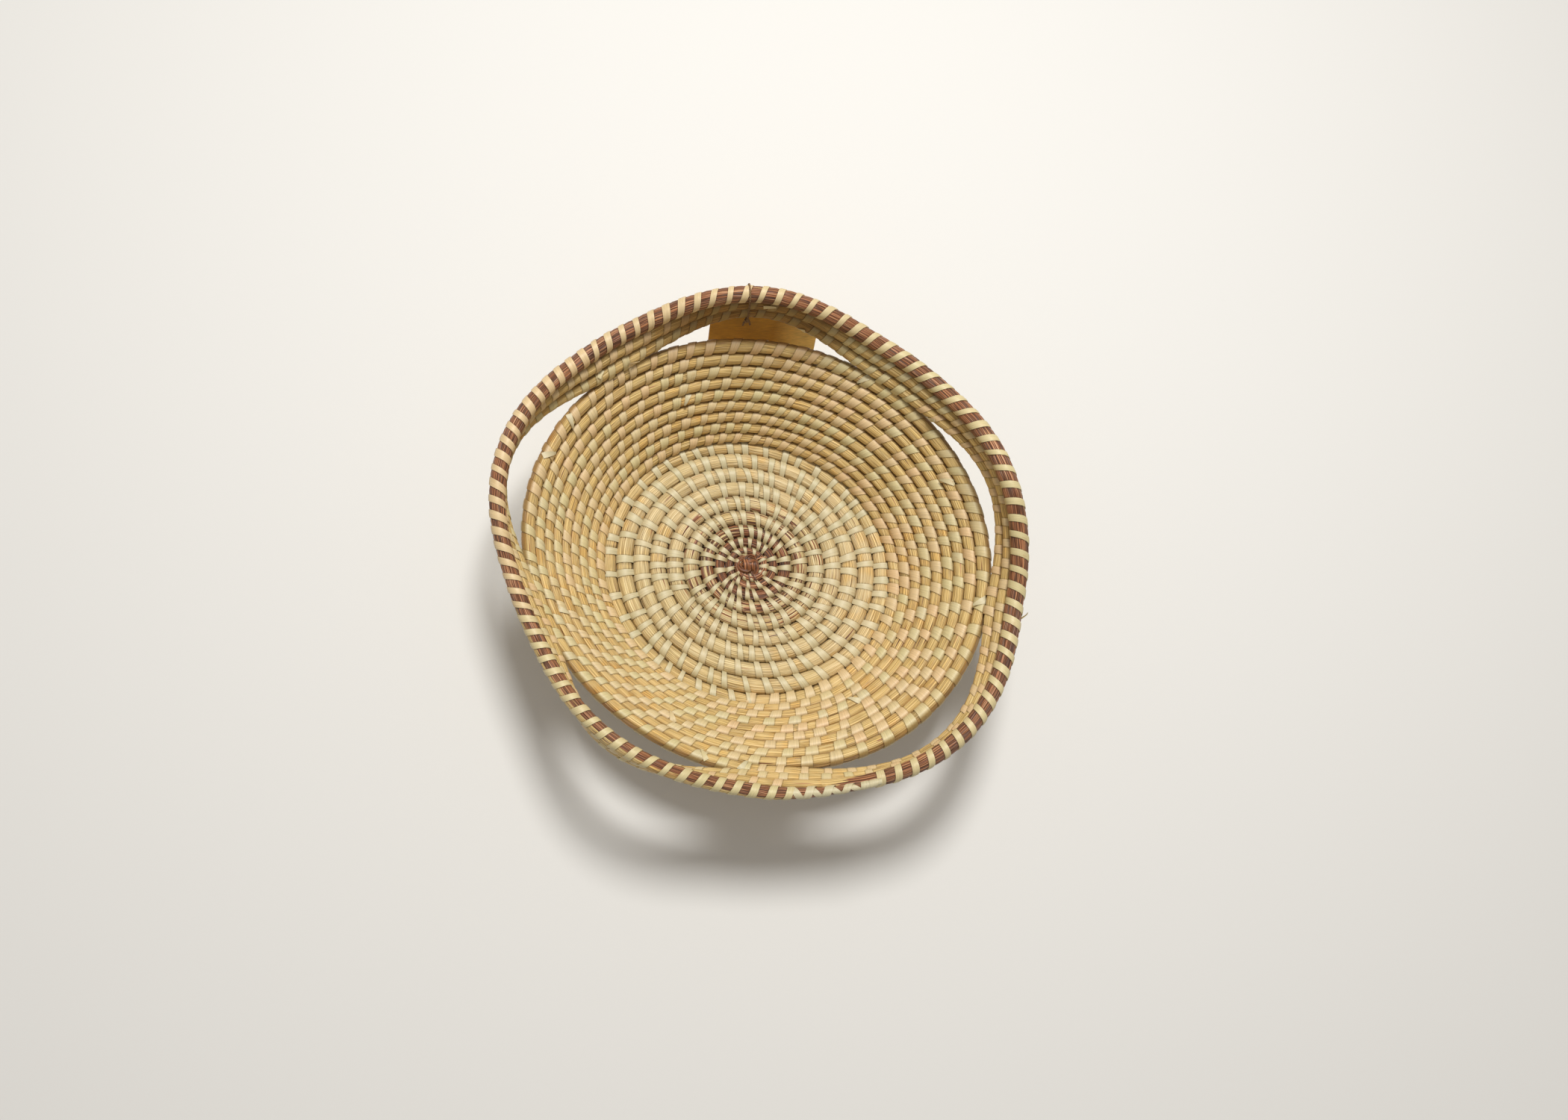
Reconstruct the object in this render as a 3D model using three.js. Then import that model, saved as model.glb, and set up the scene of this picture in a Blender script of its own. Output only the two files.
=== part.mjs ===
// A coiled sweetgrass tray. One bundle of grass starts at a knot, winds out as a flat base,
// climbs as a flaring wall and ends in a gallery of three rows that leaves the wall in five
// arches. Palmetto strip binds the rim, and a card tag hangs from a twine loop.
// Lengths are in millimetres and angles in degrees. +Z is up and the base stands on Z = 0.
import * as THREE from 'three';

// The coil, counted in turns from its start at the knot
const BASE_TURNS = 9;
const WALL_TURNS = 9;
const GALLERY_TURNS = 3;
const WALL_TOP = BASE_TURNS + WALL_TURNS;
const RIM_TURN = WALL_TOP + GALLERY_TURNS - 1;
const COIL_END = WALL_TOP + GALLERY_TURNS;
const START_AZIMUTH = 270;
const START_TURN = 0.21;
const PINE_TURNS = 3.05;
const RIM_START_TURN = RIM_TURN + 0.035;
const TAIL_START_TURN = COIL_END - 0.04;
const TAIL_END_TURN = COIL_END + 0.055;

// The bundle, corner to corner, and the space from row to row
const START_WIDTH = 4.0;
const BASE_WIDTH = 8.8;
const WALL_WIDTH = 7.2;
const GALLERY_WIDTH = 7.7;
const TAIL_WIDTH = 2.6;
const START_RADIUS = 7.5;
const ROW_GAP = 0.7;
const PIECE_GAP = 0.3;
const TAPER_TURNS = 4;
const BLEND_TURNS = 0.35;

// Palmetto strip
const STRIP_WIDTH = 3.8;
const STRIP_THICKNESS = 0.4;
const STRIP_CLEARANCE = 0.35;
const STITCH_GAP = STRIP_THICKNESS + 2 * STRIP_CLEARANCE;
const RIM_STITCH_COUNT = 93;
const JOIN_STITCH_COUNT = 3;
const END_STITCH_COUNT = 4;

// The wall's slope from the table, and the lean of the gallery where it is sewn to the wall
const WALL_ANGLE = 54;
const SEATS = [
  { azimuth: 49, lean: 63 },
  { azimuth: 128, lean: 62 },
  { azimuth: 197, lean: 71 },
  { azimuth: 271, lean: 64 },
  { azimuth: 344, lean: 67 },
];

// The five arches: how far the lowest gallery row bulges and rises off the wall at the middle
const ARCH_BULGE = 15.0;
const ARCH_RISE = 15.1;
const ARCHES = [
  { azimuth: 13.5, half: 32, bulgeShare: 0.233, riseShare: 1, lean: 85 },
  { azimuth: 90.2, half: 36, bulgeShare: 0.6, riseShare: 0.854, lean: 84.6 },
  { azimuth: 162.8, half: 32, bulgeShare: 0.907, riseShare: 0.424, lean: 97.1 },
  { azimuth: 235.7, half: 34, bulgeShare: 1, riseShare: 0.689, lean: 96.2 },
  { azimuth: 310.2, half: 37, bulgeShare: 0.767, riseShare: 0.788, lean: 84.5 },
];

// How far the hand-made base and rim are from round: waves of the radius
const BASE_WAVE_SHARES = [
  { order: 1, share: 0.025, phase: -68 },
  { order: 2, share: 0.057, phase: -37 },
];
const RIM_WAVE_SHARES = [
  { order: 1, share: 0.027, phase: -26 },
  { order: 2, share: 0.047, phase: -48 },
  { order: 3, share: 0.005, phase: 133 },
];

// The knot of pine needles
const KNOT_RING = 3.8;
const KNOT_SWING = 1.8;
const KNOT_LIFT_SHARE = 0.216;
const KNOT_STRAND = 3.1;
const KNOT_LOBES = 3;
const KNOT_WINDINGS = 2;
const KNOT_AZIMUTH = 60;

// The twine and the tag
const STRING_AZIMUTH = 93;
const STRING_DIAMETER = 1;
const STRING_SLACK = 3.7;
const STRING_DROP = 4.6;
const TAG_WIDTH = 64;
const TAG_HEIGHT = 54;
const TAG_THICKNESS = 0.8;
const TAG_CORNER = 1.5;
const HOLE_DIAMETER = 3.6;
const HOLE_MARGIN = 3;
const HOLE_FROM_EDGE = 19;
const HANG_CLEARANCE = 0.4;

// Facets
const SIDES = 6;
const LOOP_STEPS = 24;
const ARCH_STEPS = 60;
const KNOT_STEPS = 72;
const STRING_STEPS = 56;
const CARD_CORNER_STEPS = 3;
const HALF_TURN = Math.PI;
const FULL_TURN = 2 * Math.PI;
const CIRCLE = 360;
const FLAT_SHARE = Math.cos(HALF_TURN / SIDES);

const UP = new THREE.Vector3(0, 0, 1);

const radians = THREE.MathUtils.degToRad;
const mix = THREE.MathUtils.lerp;
const smooth = (share) => THREE.MathUtils.smoothstep(share, 0, 1);

function azimuthOf(turn) {
  return START_AZIMUTH + CIRCLE * turn;
}

function angleBetween(azimuth, other) {
  return THREE.MathUtils.euclideanModulo(azimuth - other + CIRCLE / 2, CIRCLE) - CIRCLE / 2;
}

// The bundle's width and the gap below its row, as they change along the coil

function bundleWidth(turn) {
  const base = mix(START_WIDTH, BASE_WIDTH, smooth(turn / TAPER_TURNS));
  const wall = mix(base, WALL_WIDTH, smooth((turn - BASE_TURNS) / BLEND_TURNS));
  const gallery = mix(wall, GALLERY_WIDTH, smooth((turn - WALL_TOP) / BLEND_TURNS));
  return mix(gallery, TAIL_WIDTH, smooth((turn - TAIL_START_TURN) / (TAIL_END_TURN - TAIL_START_TURN)));
}

function rowStep(turn) {
  const topRow = WALL_TOP - 1 - BLEND_TURNS;
  const gap = mix(ROW_GAP, STITCH_GAP, smooth((turn - topRow) / BLEND_TURNS));
  return (bundleWidth(turn) + bundleWidth(turn - 1)) / 2 + gap;
}

// How much of each arch's lift a row has at an azimuth

function archShare(arch, azimuth) {
  const away = Math.min(Math.abs(angleBetween(azimuth, arch.azimuth)) / arch.half, 1);
  return Math.cos(away * HALF_TURN / 2) ** 2;
}

function seatLean(azimuth) {
  for (let index = 0; index < SEATS.length; index += 1) {
    const from = SEATS[index];
    const to = SEATS[(index + 1) % SEATS.length];
    const span = THREE.MathUtils.euclideanModulo(to.azimuth - from.azimuth, CIRCLE);
    const along = THREE.MathUtils.euclideanModulo(azimuth - from.azimuth, CIRCLE);
    if (along <= span) return mix(from.lean, to.lean, along / span);
  }
  return WALL_ANGLE;
}

// The direction from the row below to this row, in degrees from the table

function stackLean(turn) {
  const azimuth = azimuthOf(turn);
  const seat = seatLean(azimuth);
  return ARCHES.reduce((sum, arch) => sum + (arch.lean - seat) * archShare(arch, azimuth), seat);
}

function rowLean(turn) {
  if (turn <= WALL_TOP) return WALL_ANGLE * smooth((turn - BASE_TURNS) / BLEND_TURNS);
  const seated = turn <= WALL_TOP + 1 ? seatLean(azimuthOf(turn)) : stackLean(turn);
  return mix(WALL_ANGLE, seated, smooth((turn - WALL_TOP) / BLEND_TURNS));
}

// The section's own lean: gallery rows all turn with the stack above the arches

function sectionLean(turn) {
  if (turn <= WALL_TOP) return rowLean(turn);
  return mix(WALL_ANGLE, stackLean(turn), smooth((turn - WALL_TOP) / BLEND_TURNS));
}

// The centre of the row at a turn, before the hand-made waves: each row sits on the last

function rowCentre(turn) {
  const laps = Math.floor(turn);
  const first = turn - laps;
  const centre = new THREE.Vector2(START_RADIUS + first * rowStep(1), 0);
  for (let lap = 1; lap <= laps; lap += 1) {
    const here = first + lap;
    const lean = radians(rowLean(here));
    centre.x += rowStep(here) * Math.cos(lean);
    centre.y += rowStep(here) * Math.sin(lean);
    if (here > WALL_TOP && here <= WALL_TOP + 1) {
      for (const arch of ARCHES) {
        const share = archShare(arch, azimuthOf(here));
        centre.x += ARCH_BULGE * arch.bulgeShare * share;
        centre.y += ARCH_RISE * arch.riseShare * share;
      }
    }
  }
  const seatTurn = Math.min(turn, BASE_TURNS);
  centre.y += bundleWidth(seatTurn) / 2 * FLAT_SHARE;
  return centre;
}

// A point at an azimuth, radius and height, moved by the hand-made waves

const BASE_EDGE = rowCentre(BASE_TURNS).x;
const WALL_EDGE = rowCentre(WALL_TOP).x;

function turnsFor(length) {
  return length / (FULL_TURN * WALL_EDGE);
}

function waveShare(waves, azimuth) {
  const height = (wave) => wave.share * Math.cos(radians(wave.order * azimuth - wave.phase));
  return waves.reduce((sum, wave) => sum + height(wave), 0);
}

function place(azimuth, radius, height) {
  const blend = smooth((radius - BASE_EDGE) / (WALL_EDGE - BASE_EDGE));
  const wave = mix(waveShare(BASE_WAVE_SHARES, azimuth), waveShare(RIM_WAVE_SHARES, azimuth), blend);
  const waved = radius * (1 + wave);
  const angle = radians(azimuth);
  return new THREE.Vector3(waved * Math.cos(angle), waved * Math.sin(angle), height);
}

// One corner of the bundle's six-sided section, or a point that far outside it

function cornerAt(turn, corner, offset) {
  const centre = rowCentre(turn);
  const angle = radians(sectionLean(turn)) + FULL_TURN * corner / SIDES;
  const reach = bundleWidth(turn) / 2 + offset;
  return place(azimuthOf(turn), centre.x + reach * Math.cos(angle), centre.y + reach * Math.sin(angle));
}

// The same on the faceted bundle, between two of its stations

function facetCorner(turn, corner, offset) {
  const steps = turn < WALL_TOP ? LOOP_STEPS : ARCH_STEPS;
  const station = Math.floor(turn * steps);
  const from = cornerAt(station / steps, corner, offset);
  const to = cornerAt((station + 1) / steps, corner, offset);
  return from.lerp(to, turn * steps - station);
}

// A closed body from rings of points: quads between rings, and a cap on each end or a join

function ringBody(rings, closed) {
  const count = rings[0].length;
  const positions = rings.flat().flatMap((point) => point.toArray());
  const indices = [];
  const last = closed ? rings.length : rings.length - 1;
  for (let ring = 0; ring < last; ring += 1) {
    const next = (ring + 1) % rings.length;
    for (let side = 0; side < count; side += 1) {
      const across = (side + 1) % count;
      const a = ring * count + side;
      const b = ring * count + across;
      const c = next * count + side;
      const d = next * count + across;
      indices.push(a, c, b, b, c, d);
    }
  }
  if (!closed) {
    const end = (rings.length - 1) * count;
    for (let side = 1; side < count - 1; side += 1) {
      indices.push(0, side, side + 1);
      indices.push(end, end + side + 1, end + side);
    }
  }
  const geometry = new THREE.BufferGeometry();
  geometry.setAttribute('position', new THREE.Float32BufferAttribute(positions, 3));
  geometry.setIndex(indices);
  geometry.computeVertexNormals();
  return geometry;
}

// A stretch of the coil: rings at the even stations, with an exact ring at each end

function coilStations(from, to, steps) {
  const turns = [from];
  const near = 1 / (4 * steps);
  for (let station = Math.ceil(from * steps); station <= Math.floor(to * steps); station += 1) {
    const turn = station / steps;
    if (turn > from + near && turn < to - near) turns.push(turn);
  }
  turns.push(to);
  return turns;
}

function coilRings(from, to, steps) {
  const ring = (turn) => Array.from({ length: SIDES }, (_, corner) => cornerAt(turn, corner, 0));
  return coilStations(from, to, steps).map(ring);
}

// A strip that winds round bundles: stitch by stitch through a list of corners

function stripRings(from, to, stitches, corners) {
  const steps = stitches * corners.length;
  const halfWidth = turnsFor(STRIP_WIDTH / 2);
  const inner = STRIP_CLEARANCE;
  const outer = STRIP_CLEARANCE + STRIP_THICKNESS;
  const rings = [];
  for (let step = 0; step <= steps; step += 1) {
    const turn = mix(from, to, step / steps);
    const [rowsBelow, corner] = corners[step % corners.length];
    const row = turn - rowsBelow;
    rings.push([
      facetCorner(row + halfWidth, corner, inner),
      facetCorner(row + halfWidth, corner, outer),
      facetCorner(row - halfWidth, corner, outer),
      facetCorner(row - halfWidth, corner, inner),
    ]);
  }
  return rings;
}

// The knot: a strand tied over and under itself in three lobes

function knotPoint(share) {
  const lobe = KNOT_LOBES * FULL_TURN * share;
  const radius = KNOT_RING + KNOT_SWING * Math.cos(lobe);
  const lift = KNOT_LIFT_SHARE * BASE_WIDTH;
  const height = lift * Math.sin(lobe) + lift + KNOT_STRAND / 2;
  const angle = KNOT_WINDINGS * FULL_TURN * share + radians(KNOT_AZIMUTH);
  return new THREE.Vector3(radius * Math.cos(angle), radius * Math.sin(angle), height);
}

function knotRings() {
  const rings = [];
  for (let step = 0; step < KNOT_STEPS; step += 1) {
    const point = knotPoint(step / KNOT_STEPS);
    const ahead = knotPoint((step + 1) / KNOT_STEPS);
    const behind = knotPoint((step - 1) / KNOT_STEPS);
    const along = ahead.sub(behind).normalize();
    const across = new THREE.Vector3().crossVectors(along, UP).normalize();
    const lift = new THREE.Vector3().crossVectors(across, along);
    const ring = [];
    for (let side = 0; side < SIDES; side += 1) {
      const angle = FULL_TURN * side / SIDES;
      const corner = point.clone();
      corner.addScaledVector(across, KNOT_STRAND / 2 * Math.cos(angle));
      corner.addScaledVector(lift, KNOT_STRAND / 2 * Math.sin(angle));
      ring.push(corner);
    }
    rings.push(ring);
  }
  return rings;
}

// The least distance between the points of rings that lie half a turn or more apart

function leastGap(rings, stepsApart) {
  let least = Infinity;
  for (let one = 0; one < rings.length; one += 1) {
    for (let other = one + stepsApart; other < rings.length; other += 1) {
      for (const point of rings[one]) {
        for (const far of rings[other]) least = Math.min(least, point.distanceTo(far));
      }
    }
  }
  return least;
}

function reportGap(name, gap) {
  console.log(`${name}: least gap to itself ${gap.toFixed(2)} mm`);
}

// Where the twine hangs: the rim row above and the lowest gallery row, at one azimuth

const STRING_SHARE = THREE.MathUtils.euclideanModulo(STRING_AZIMUTH - START_AZIMUTH, CIRCLE) / CIRCLE;
const STRING_REACH = GALLERY_WIDTH / 2 + STITCH_GAP + STRING_DIAMETER / 2;
const OUTWARD = new THREE.Vector3(Math.cos(radians(STRING_AZIMUTH)), Math.sin(radians(STRING_AZIMUTH)), 0);
const SIDEWAYS = new THREE.Vector3().crossVectors(UP, OUTWARD);

function galleryPoint(row, out, up) {
  const centre = rowCentre(WALL_TOP + row + STRING_SHARE);
  const point = place(STRING_AZIMUTH, centre.x, centre.y);
  return point.addScaledVector(OUTWARD, out).addScaledVector(UP, up);
}

const TAG_TOP_REACH = HOLE_MARGIN + HANG_CLEARANCE + STRING_DIAMETER / 2;
const HANG_POINT = galleryPoint(GALLERY_TURNS - 1, STRING_REACH - STRING_SLACK, 0);
HANG_POINT.z = galleryPoint(0, 0, -STRING_REACH - STRING_DROP).z;

// The twine: one loop over the rim row, down both sides of the gallery and through the tag

function stringRoute() {
  const rim = GALLERY_TURNS - 1;
  const reach = STRING_REACH;
  const slant = reach * Math.SQRT1_2;
  const hang = (out, up) => HANG_POINT.clone().addScaledVector(OUTWARD, out).addScaledVector(UP, up);
  const outside = galleryPoint(rim, reach, 0);
  outside.z = galleryPoint(0, 0, 0).z;
  return [
    galleryPoint(rim, reach, 0),
    galleryPoint(rim, slant, slant),
    galleryPoint(rim, 0, reach),
    galleryPoint(rim, -slant, slant),
    galleryPoint(rim, -reach, 0),
    galleryPoint(0, -reach, 0),
    galleryPoint(0, -slant, -slant),
    galleryPoint(0, 0, -reach),
    hang(-STRING_SLACK, STRING_DROP / 2),
    hang(-STRING_SLACK / 2, 0),
    hang(0, 0),
    hang(STRING_SLACK / 2, 0),
    hang(STRING_SLACK, STRING_DROP / 2),
    outside,
  ];
}

function stringRings() {
  const curve = new THREE.CatmullRomCurve3(stringRoute(), true);
  const rings = [];
  for (let step = 0; step < STRING_STEPS; step += 1) {
    const point = curve.getPoint(step / STRING_STEPS);
    const away = new THREE.Vector3().crossVectors(curve.getTangent(step / STRING_STEPS), SIDEWAYS);
    const ring = [];
    for (let corner = 0; corner < SIDES; corner += 1) {
      const turn = FULL_TURN * corner / SIDES;
      const edge = point.clone();
      edge.addScaledVector(away, STRING_DIAMETER / 2 * Math.cos(turn));
      edge.addScaledVector(SIDEWAYS, STRING_DIAMETER / 2 * Math.sin(turn));
      ring.push(edge);
    }
    rings.push(ring);
  }
  return rings;
}

// The card: a rectangle with small round corners and one hole that the twine runs through

function tagGeometry() {
  const left = HOLE_FROM_EDGE - TAG_WIDTH;
  const right = HOLE_FROM_EDGE;
  const top = TAG_TOP_REACH;
  const bottom = top - TAG_HEIGHT;
  const outline = new THREE.Shape();
  outline.moveTo(left + TAG_CORNER, bottom);
  outline.lineTo(right - TAG_CORNER, bottom);
  outline.absarc(right - TAG_CORNER, bottom + TAG_CORNER, TAG_CORNER, -HALF_TURN / 2, 0);
  outline.absarc(right - TAG_CORNER, top - TAG_CORNER, TAG_CORNER, 0, HALF_TURN / 2);
  outline.absarc(left + TAG_CORNER, top - TAG_CORNER, TAG_CORNER, HALF_TURN / 2, HALF_TURN);
  outline.absarc(left + TAG_CORNER, bottom + TAG_CORNER, TAG_CORNER, HALF_TURN, 3 * HALF_TURN / 2);
  const hole = new THREE.Path();
  const holeHeight = top - HOLE_MARGIN - HOLE_DIAMETER / 2;
  hole.absarc(0, holeHeight, HOLE_DIAMETER / 2, 0, FULL_TURN);
  outline.holes.push(hole);
  const extent = { depth: TAG_THICKNESS, bevelEnabled: false, curveSegments: CARD_CORNER_STEPS };
  const card = new THREE.ExtrudeGeometry(outline, extent);
  card.translate(0, 0, -TAG_THICKNESS / 2);
  return card;
}

// Colours of the grasses, strip, twine and card

const SWEETGRASS = new THREE.MeshStandardMaterial({ color: 0xbf9a5c, roughness: 0.7, metalness: 0 });
const PINE_NEEDLE = new THREE.MeshStandardMaterial({ color: 0x6f4132, roughness: 0.6, metalness: 0 });
const PALMETTO = new THREE.MeshStandardMaterial({ color: 0xd8c08f, roughness: 0.6, metalness: 0 });
const TWINE = new THREE.MeshStandardMaterial({ color: 0x8a6238, roughness: 0.9, metalness: 0 });
const CARD = new THREE.MeshStandardMaterial({ color: 0xb07c38, roughness: 0.85, metalness: 0 });

const tray = new THREE.Group();

function addMesh(name, geometry, material) {
  const mesh = new THREE.Mesh(geometry, material);
  mesh.name = name;
  tray.add(mesh);
  return mesh;
}

// Each piece of the coil ends a small gap before the next one

function addCoil(name, from, to, steps, material) {
  const shortened = to === TAIL_END_TURN ? to : to - PIECE_GAP / (FULL_TURN * rowCentre(to).x);
  const rings = coilRings(from, shortened, steps);
  addMesh(name, ringBody(rings, false), material);
  const gap = leastGap(rings, Math.floor(steps / 2));
  if (Number.isFinite(gap)) reportGap(name, gap);
}

const knot = knotRings();
addMesh('start_knot', ringBody(knot, true), PINE_NEEDLE);
addCoil('start_coil', START_TURN, PINE_TURNS, LOOP_STEPS, PINE_NEEDLE);
addCoil('base_coil', PINE_TURNS, BASE_TURNS, LOOP_STEPS, SWEETGRASS);
addCoil('wall_coil', BASE_TURNS, WALL_TOP, LOOP_STEPS, SWEETGRASS);
addCoil('gallery_coil_lower', WALL_TOP, WALL_TOP + 1, ARCH_STEPS, SWEETGRASS);
addCoil('gallery_coil_upper', WALL_TOP + 1, RIM_START_TURN, ARCH_STEPS, SWEETGRASS);
addCoil('rim_coil', RIM_START_TURN, TAIL_END_TURN, ARCH_STEPS, PINE_NEEDLE);

// The strip round the rim row, from one end of the rim's lashing to the other

const ROUND_ONE_ROW = [[0, 5], [0, 0], [0, 1], [0, 2], [0, 3], [0, 4]];
const BINDING_FROM = TAIL_END_TURN - 1 + turnsFor(STRIP_WIDTH);
const BINDING_TO = TAIL_START_TURN;
const binding = stripRings(BINDING_FROM, BINDING_TO, RIM_STITCH_COUNT, ROUND_ONE_ROW);
addMesh('rim_binding', ringBody(binding, false), PALMETTO);

// The lashings: round the lowest gallery row and the wall's top row at each seat

const ROUND_SEAT = [[0, 0], [0, 1], [0, 2], [1, 1], [1, 2], [1, 3], [1, 4], [1, 5], [0, 4], [0, 5]];
const JOIN_SPAN = JOIN_STITCH_COUNT * turnsFor(2 * STRIP_WIDTH);
SEATS.forEach((seat, index) => {
  const share = THREE.MathUtils.euclideanModulo(seat.azimuth - START_AZIMUTH, CIRCLE) / CIRCLE;
  const middle = WALL_TOP + share;
  const from = Math.max(middle - JOIN_SPAN / 2, WALL_TOP + turnsFor(STRIP_WIDTH));
  const rings = stripRings(from, from + JOIN_SPAN, JOIN_STITCH_COUNT, ROUND_SEAT);
  addMesh(`join_lashing_${index + 1}`, ringBody(rings, false), PALMETTO);
});

// The lashing that holds the coil's tapered tail on the start of the rim row

const ROUND_TAIL = [[0, 0], [0, 1], [1, 1], [1, 2], [1, 3], [1, 4], [1, 5], [0, 5]];
const LASHING_FROM = COIL_END + turnsFor(STRIP_WIDTH);
const LASHING_TO = TAIL_END_TURN - turnsFor(STRIP_WIDTH);
const endLashing = stripRings(LASHING_FROM, LASHING_TO, END_STITCH_COUNT, ROUND_TAIL);
addMesh('end_lashing', ringBody(endLashing, false), PALMETTO);

addMesh('tag_string', ringBody(stringRings(), true), TWINE);
const tag = addMesh('hang_tag', tagGeometry(), CARD);
tag.quaternion.setFromRotationMatrix(new THREE.Matrix4().makeBasis(SIDEWAYS, UP, OUTWARD));
tag.position.copy(HANG_POINT);

// The origin: on the table, under the middle of the whole tray

const extent = new THREE.Box3().setFromObject(tray, true);
const middle = extent.getCenter(new THREE.Vector3());
tray.position.set(-middle.x, -middle.y, -extent.min.z);

export default tray;
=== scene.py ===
# A coiled sweetgrass tray: rows of grass and pine needles sewn with palmetto strip, with an
# open gallery in five arches and a card tag on a twine loop. Lengths are in metres.
import math

import bpy
import numpy as np
from mathutils import Matrix, Vector


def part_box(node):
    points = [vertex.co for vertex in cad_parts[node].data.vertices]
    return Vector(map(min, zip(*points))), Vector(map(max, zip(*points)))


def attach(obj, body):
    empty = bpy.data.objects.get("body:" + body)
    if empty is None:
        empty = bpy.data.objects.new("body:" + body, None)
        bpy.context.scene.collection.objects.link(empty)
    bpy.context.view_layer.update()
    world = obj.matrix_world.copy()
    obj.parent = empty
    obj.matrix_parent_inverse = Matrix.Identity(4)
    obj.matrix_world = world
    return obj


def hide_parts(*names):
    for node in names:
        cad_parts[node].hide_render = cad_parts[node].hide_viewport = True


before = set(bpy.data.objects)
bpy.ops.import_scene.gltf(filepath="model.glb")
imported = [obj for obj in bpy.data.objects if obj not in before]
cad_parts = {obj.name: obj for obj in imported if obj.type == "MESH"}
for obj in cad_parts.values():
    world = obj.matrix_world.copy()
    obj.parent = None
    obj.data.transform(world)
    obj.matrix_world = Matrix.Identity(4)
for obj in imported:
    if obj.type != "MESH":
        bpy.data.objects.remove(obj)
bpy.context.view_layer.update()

MM = 0.001
CM = 0.01
TINY = 1e-9
UP = np.array([0.0, 0.0, 1.0])
rng = np.random.default_rng(11)

# The coil, counted in turns from its start at the knot
BASE_TURNS = 9
WALL_TURNS = 9
GALLERY_TURNS = 3
WALL_TOP = BASE_TURNS + WALL_TURNS
RIM_TURN = WALL_TOP + GALLERY_TURNS - 1
COIL_END = WALL_TOP + GALLERY_TURNS
START_AZIMUTH = 270
START_TURN = 0.21
PINE_TURNS = 3.05
RIM_START_TURN = RIM_TURN + 0.035
TAIL_START_TURN = COIL_END - 0.01
TAIL_END_TURN = COIL_END + 0.066

# The bundle's width and the space from row to row
START_WIDTH = 4.0 * MM
BASE_WIDTH = 8.8 * MM
WALL_WIDTH = 7.2 * MM
GALLERY_WIDTH = 7.7 * MM
TAIL_WIDTH = 2.6 * MM
START_RADIUS = 7.5 * MM
CORE_FROM = 0.34
CORE_THICK = 4.9 * MM
ROW_GAP = 0.7 * MM
SEWN_GAP = 1.1 * MM
TAPER_TURNS = 4
BLEND_TURNS = 0.35
WALL_ANGLE = 54
SEATS = [(49, 63), (128, 62), (197, 71), (271, 64), (344, 67)]

# The arches: azimuth, half width, bulge share, rise share and lean
ARCH_BULGE = 15.0 * MM
ARCH_RISE = 15.1 * MM
ARCHES = [
    (13.5, 32, 0.233, 1.0, 85),
    (90.2, 36, 0.6, 0.854, 84.6),
    (162.8, 32, 0.907, 0.424, 97.1),
    (235.7, 34, 1.0, 0.689, 96.2),
    (310.2, 37, 0.767, 0.788, 84.5),
]
BASE_WAVE_SHARES = [(1, 0.025, -68), (2, 0.057, -37)]
RIM_WAVE_SHARES = [(1, 0.027, -26), (2, 0.047, -48), (3, 0.005, 133)]

# The palmetto strip: its section, and how wide, slanted and far apart the stitches are.
# Each list goes round the tray, as azimuth and value
STRIP_CROWN = 0.12 * MM
STRIP_EDGE = 0.34 * MM
STRIP_SUNK = 0.55 * MM
BASE_STRIP = 3.95 * MM
GALLERY_STRIP = 4.4 * MM
RIM_STRIP = 3.8 * MM
RIM_STITCH_COUNT = 93
BASE_SLANTS = [(68, 2.4), (158, -0.8), (248, 3.0), (338, 0.4)]
WALL_STRIPS = [
    (20, 6.2), (68, 5.6), (110, 5.1), (160, 5.4), (200, 5.9), (240, 6.5), (275, 6.3), (340, 6.1),
]
WALL_SLANTS = [
    (20, -4.6), (60, -5.6), (90, -5.4), (125, -4.6), (225, -4.8),
    (255, -5.4), (275, -4.2), (300, -2.6), (340, -2.2),
]
RIM_SLANTS = [
    (10, -4.0), (40, -7.0), (75, -7.0), (100, -4.6), (150, -4.6), (200, -4.6), (260, -4.8), (330, -3.4),
]
WALL_SPACINGS = [(68, 11.0), (160, 9.8), (250, 12.2), (338, 10.2)]
RIM_SPACINGS = [
    (0, 9.2), (30, 10.6), (75, 11.0), (110, 9.8), (160, 8.5), (205, 8.6), (245, 10.6), (300, 9.3),
]
RIM_GIRTHS = [
    (10, 1.30), (60, 1.30), (93, 1.28), (125, 1.28), (170, 1.18),
    (215, 1.15), (250, 1.08), (290, 1.06), (330, 1.2),
]
RIM_TONES = [(0, 0.45), (30, 0.52), (70, 0.85), (130, 0.9), (220, 0.75), (270, 0.6), (320, 0.5)]
STAGGER_SHARES = [(50, 0.5), (75, 0.0), (285, 0.0), (315, 0.5)]
CREASE = 38


def smooth(share):
    share = np.clip(share, 0, 1)
    return share * share * (3 - 2 * share)


def mix(low, high, share):
    return low + (high - low) * share


def angle_between(azimuth, other):
    return (azimuth - other + 180) % 360 - 180


def azimuth_of(turn):
    return START_AZIMUTH + 360 * turn


def round_the_tray(table, azimuth):
    """A value read from a table of azimuths and values, with the last leading back to the first."""
    azimuths = [place for place, value in table]
    values = [value for place, value in table]
    return np.interp(azimuth, azimuths, values, period=360)


# The coil's course: each row sits on the row one turn below


def bundle_width(turn):
    base = mix(START_WIDTH, BASE_WIDTH, smooth(turn / TAPER_TURNS))
    wall = mix(base, WALL_WIDTH, smooth((turn - BASE_TURNS) / BLEND_TURNS))
    gallery = mix(wall, GALLERY_WIDTH, smooth((turn - WALL_TOP) / BLEND_TURNS))
    return mix(gallery, TAIL_WIDTH, smooth((turn - TAIL_START_TURN) / (TAIL_END_TURN - TAIL_START_TURN)))


def row_step(turn):
    gap = mix(ROW_GAP, SEWN_GAP, smooth((turn - WALL_TOP + 1 + BLEND_TURNS) / BLEND_TURNS))
    return (bundle_width(turn) + bundle_width(turn - 1)) / 2 + gap


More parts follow.
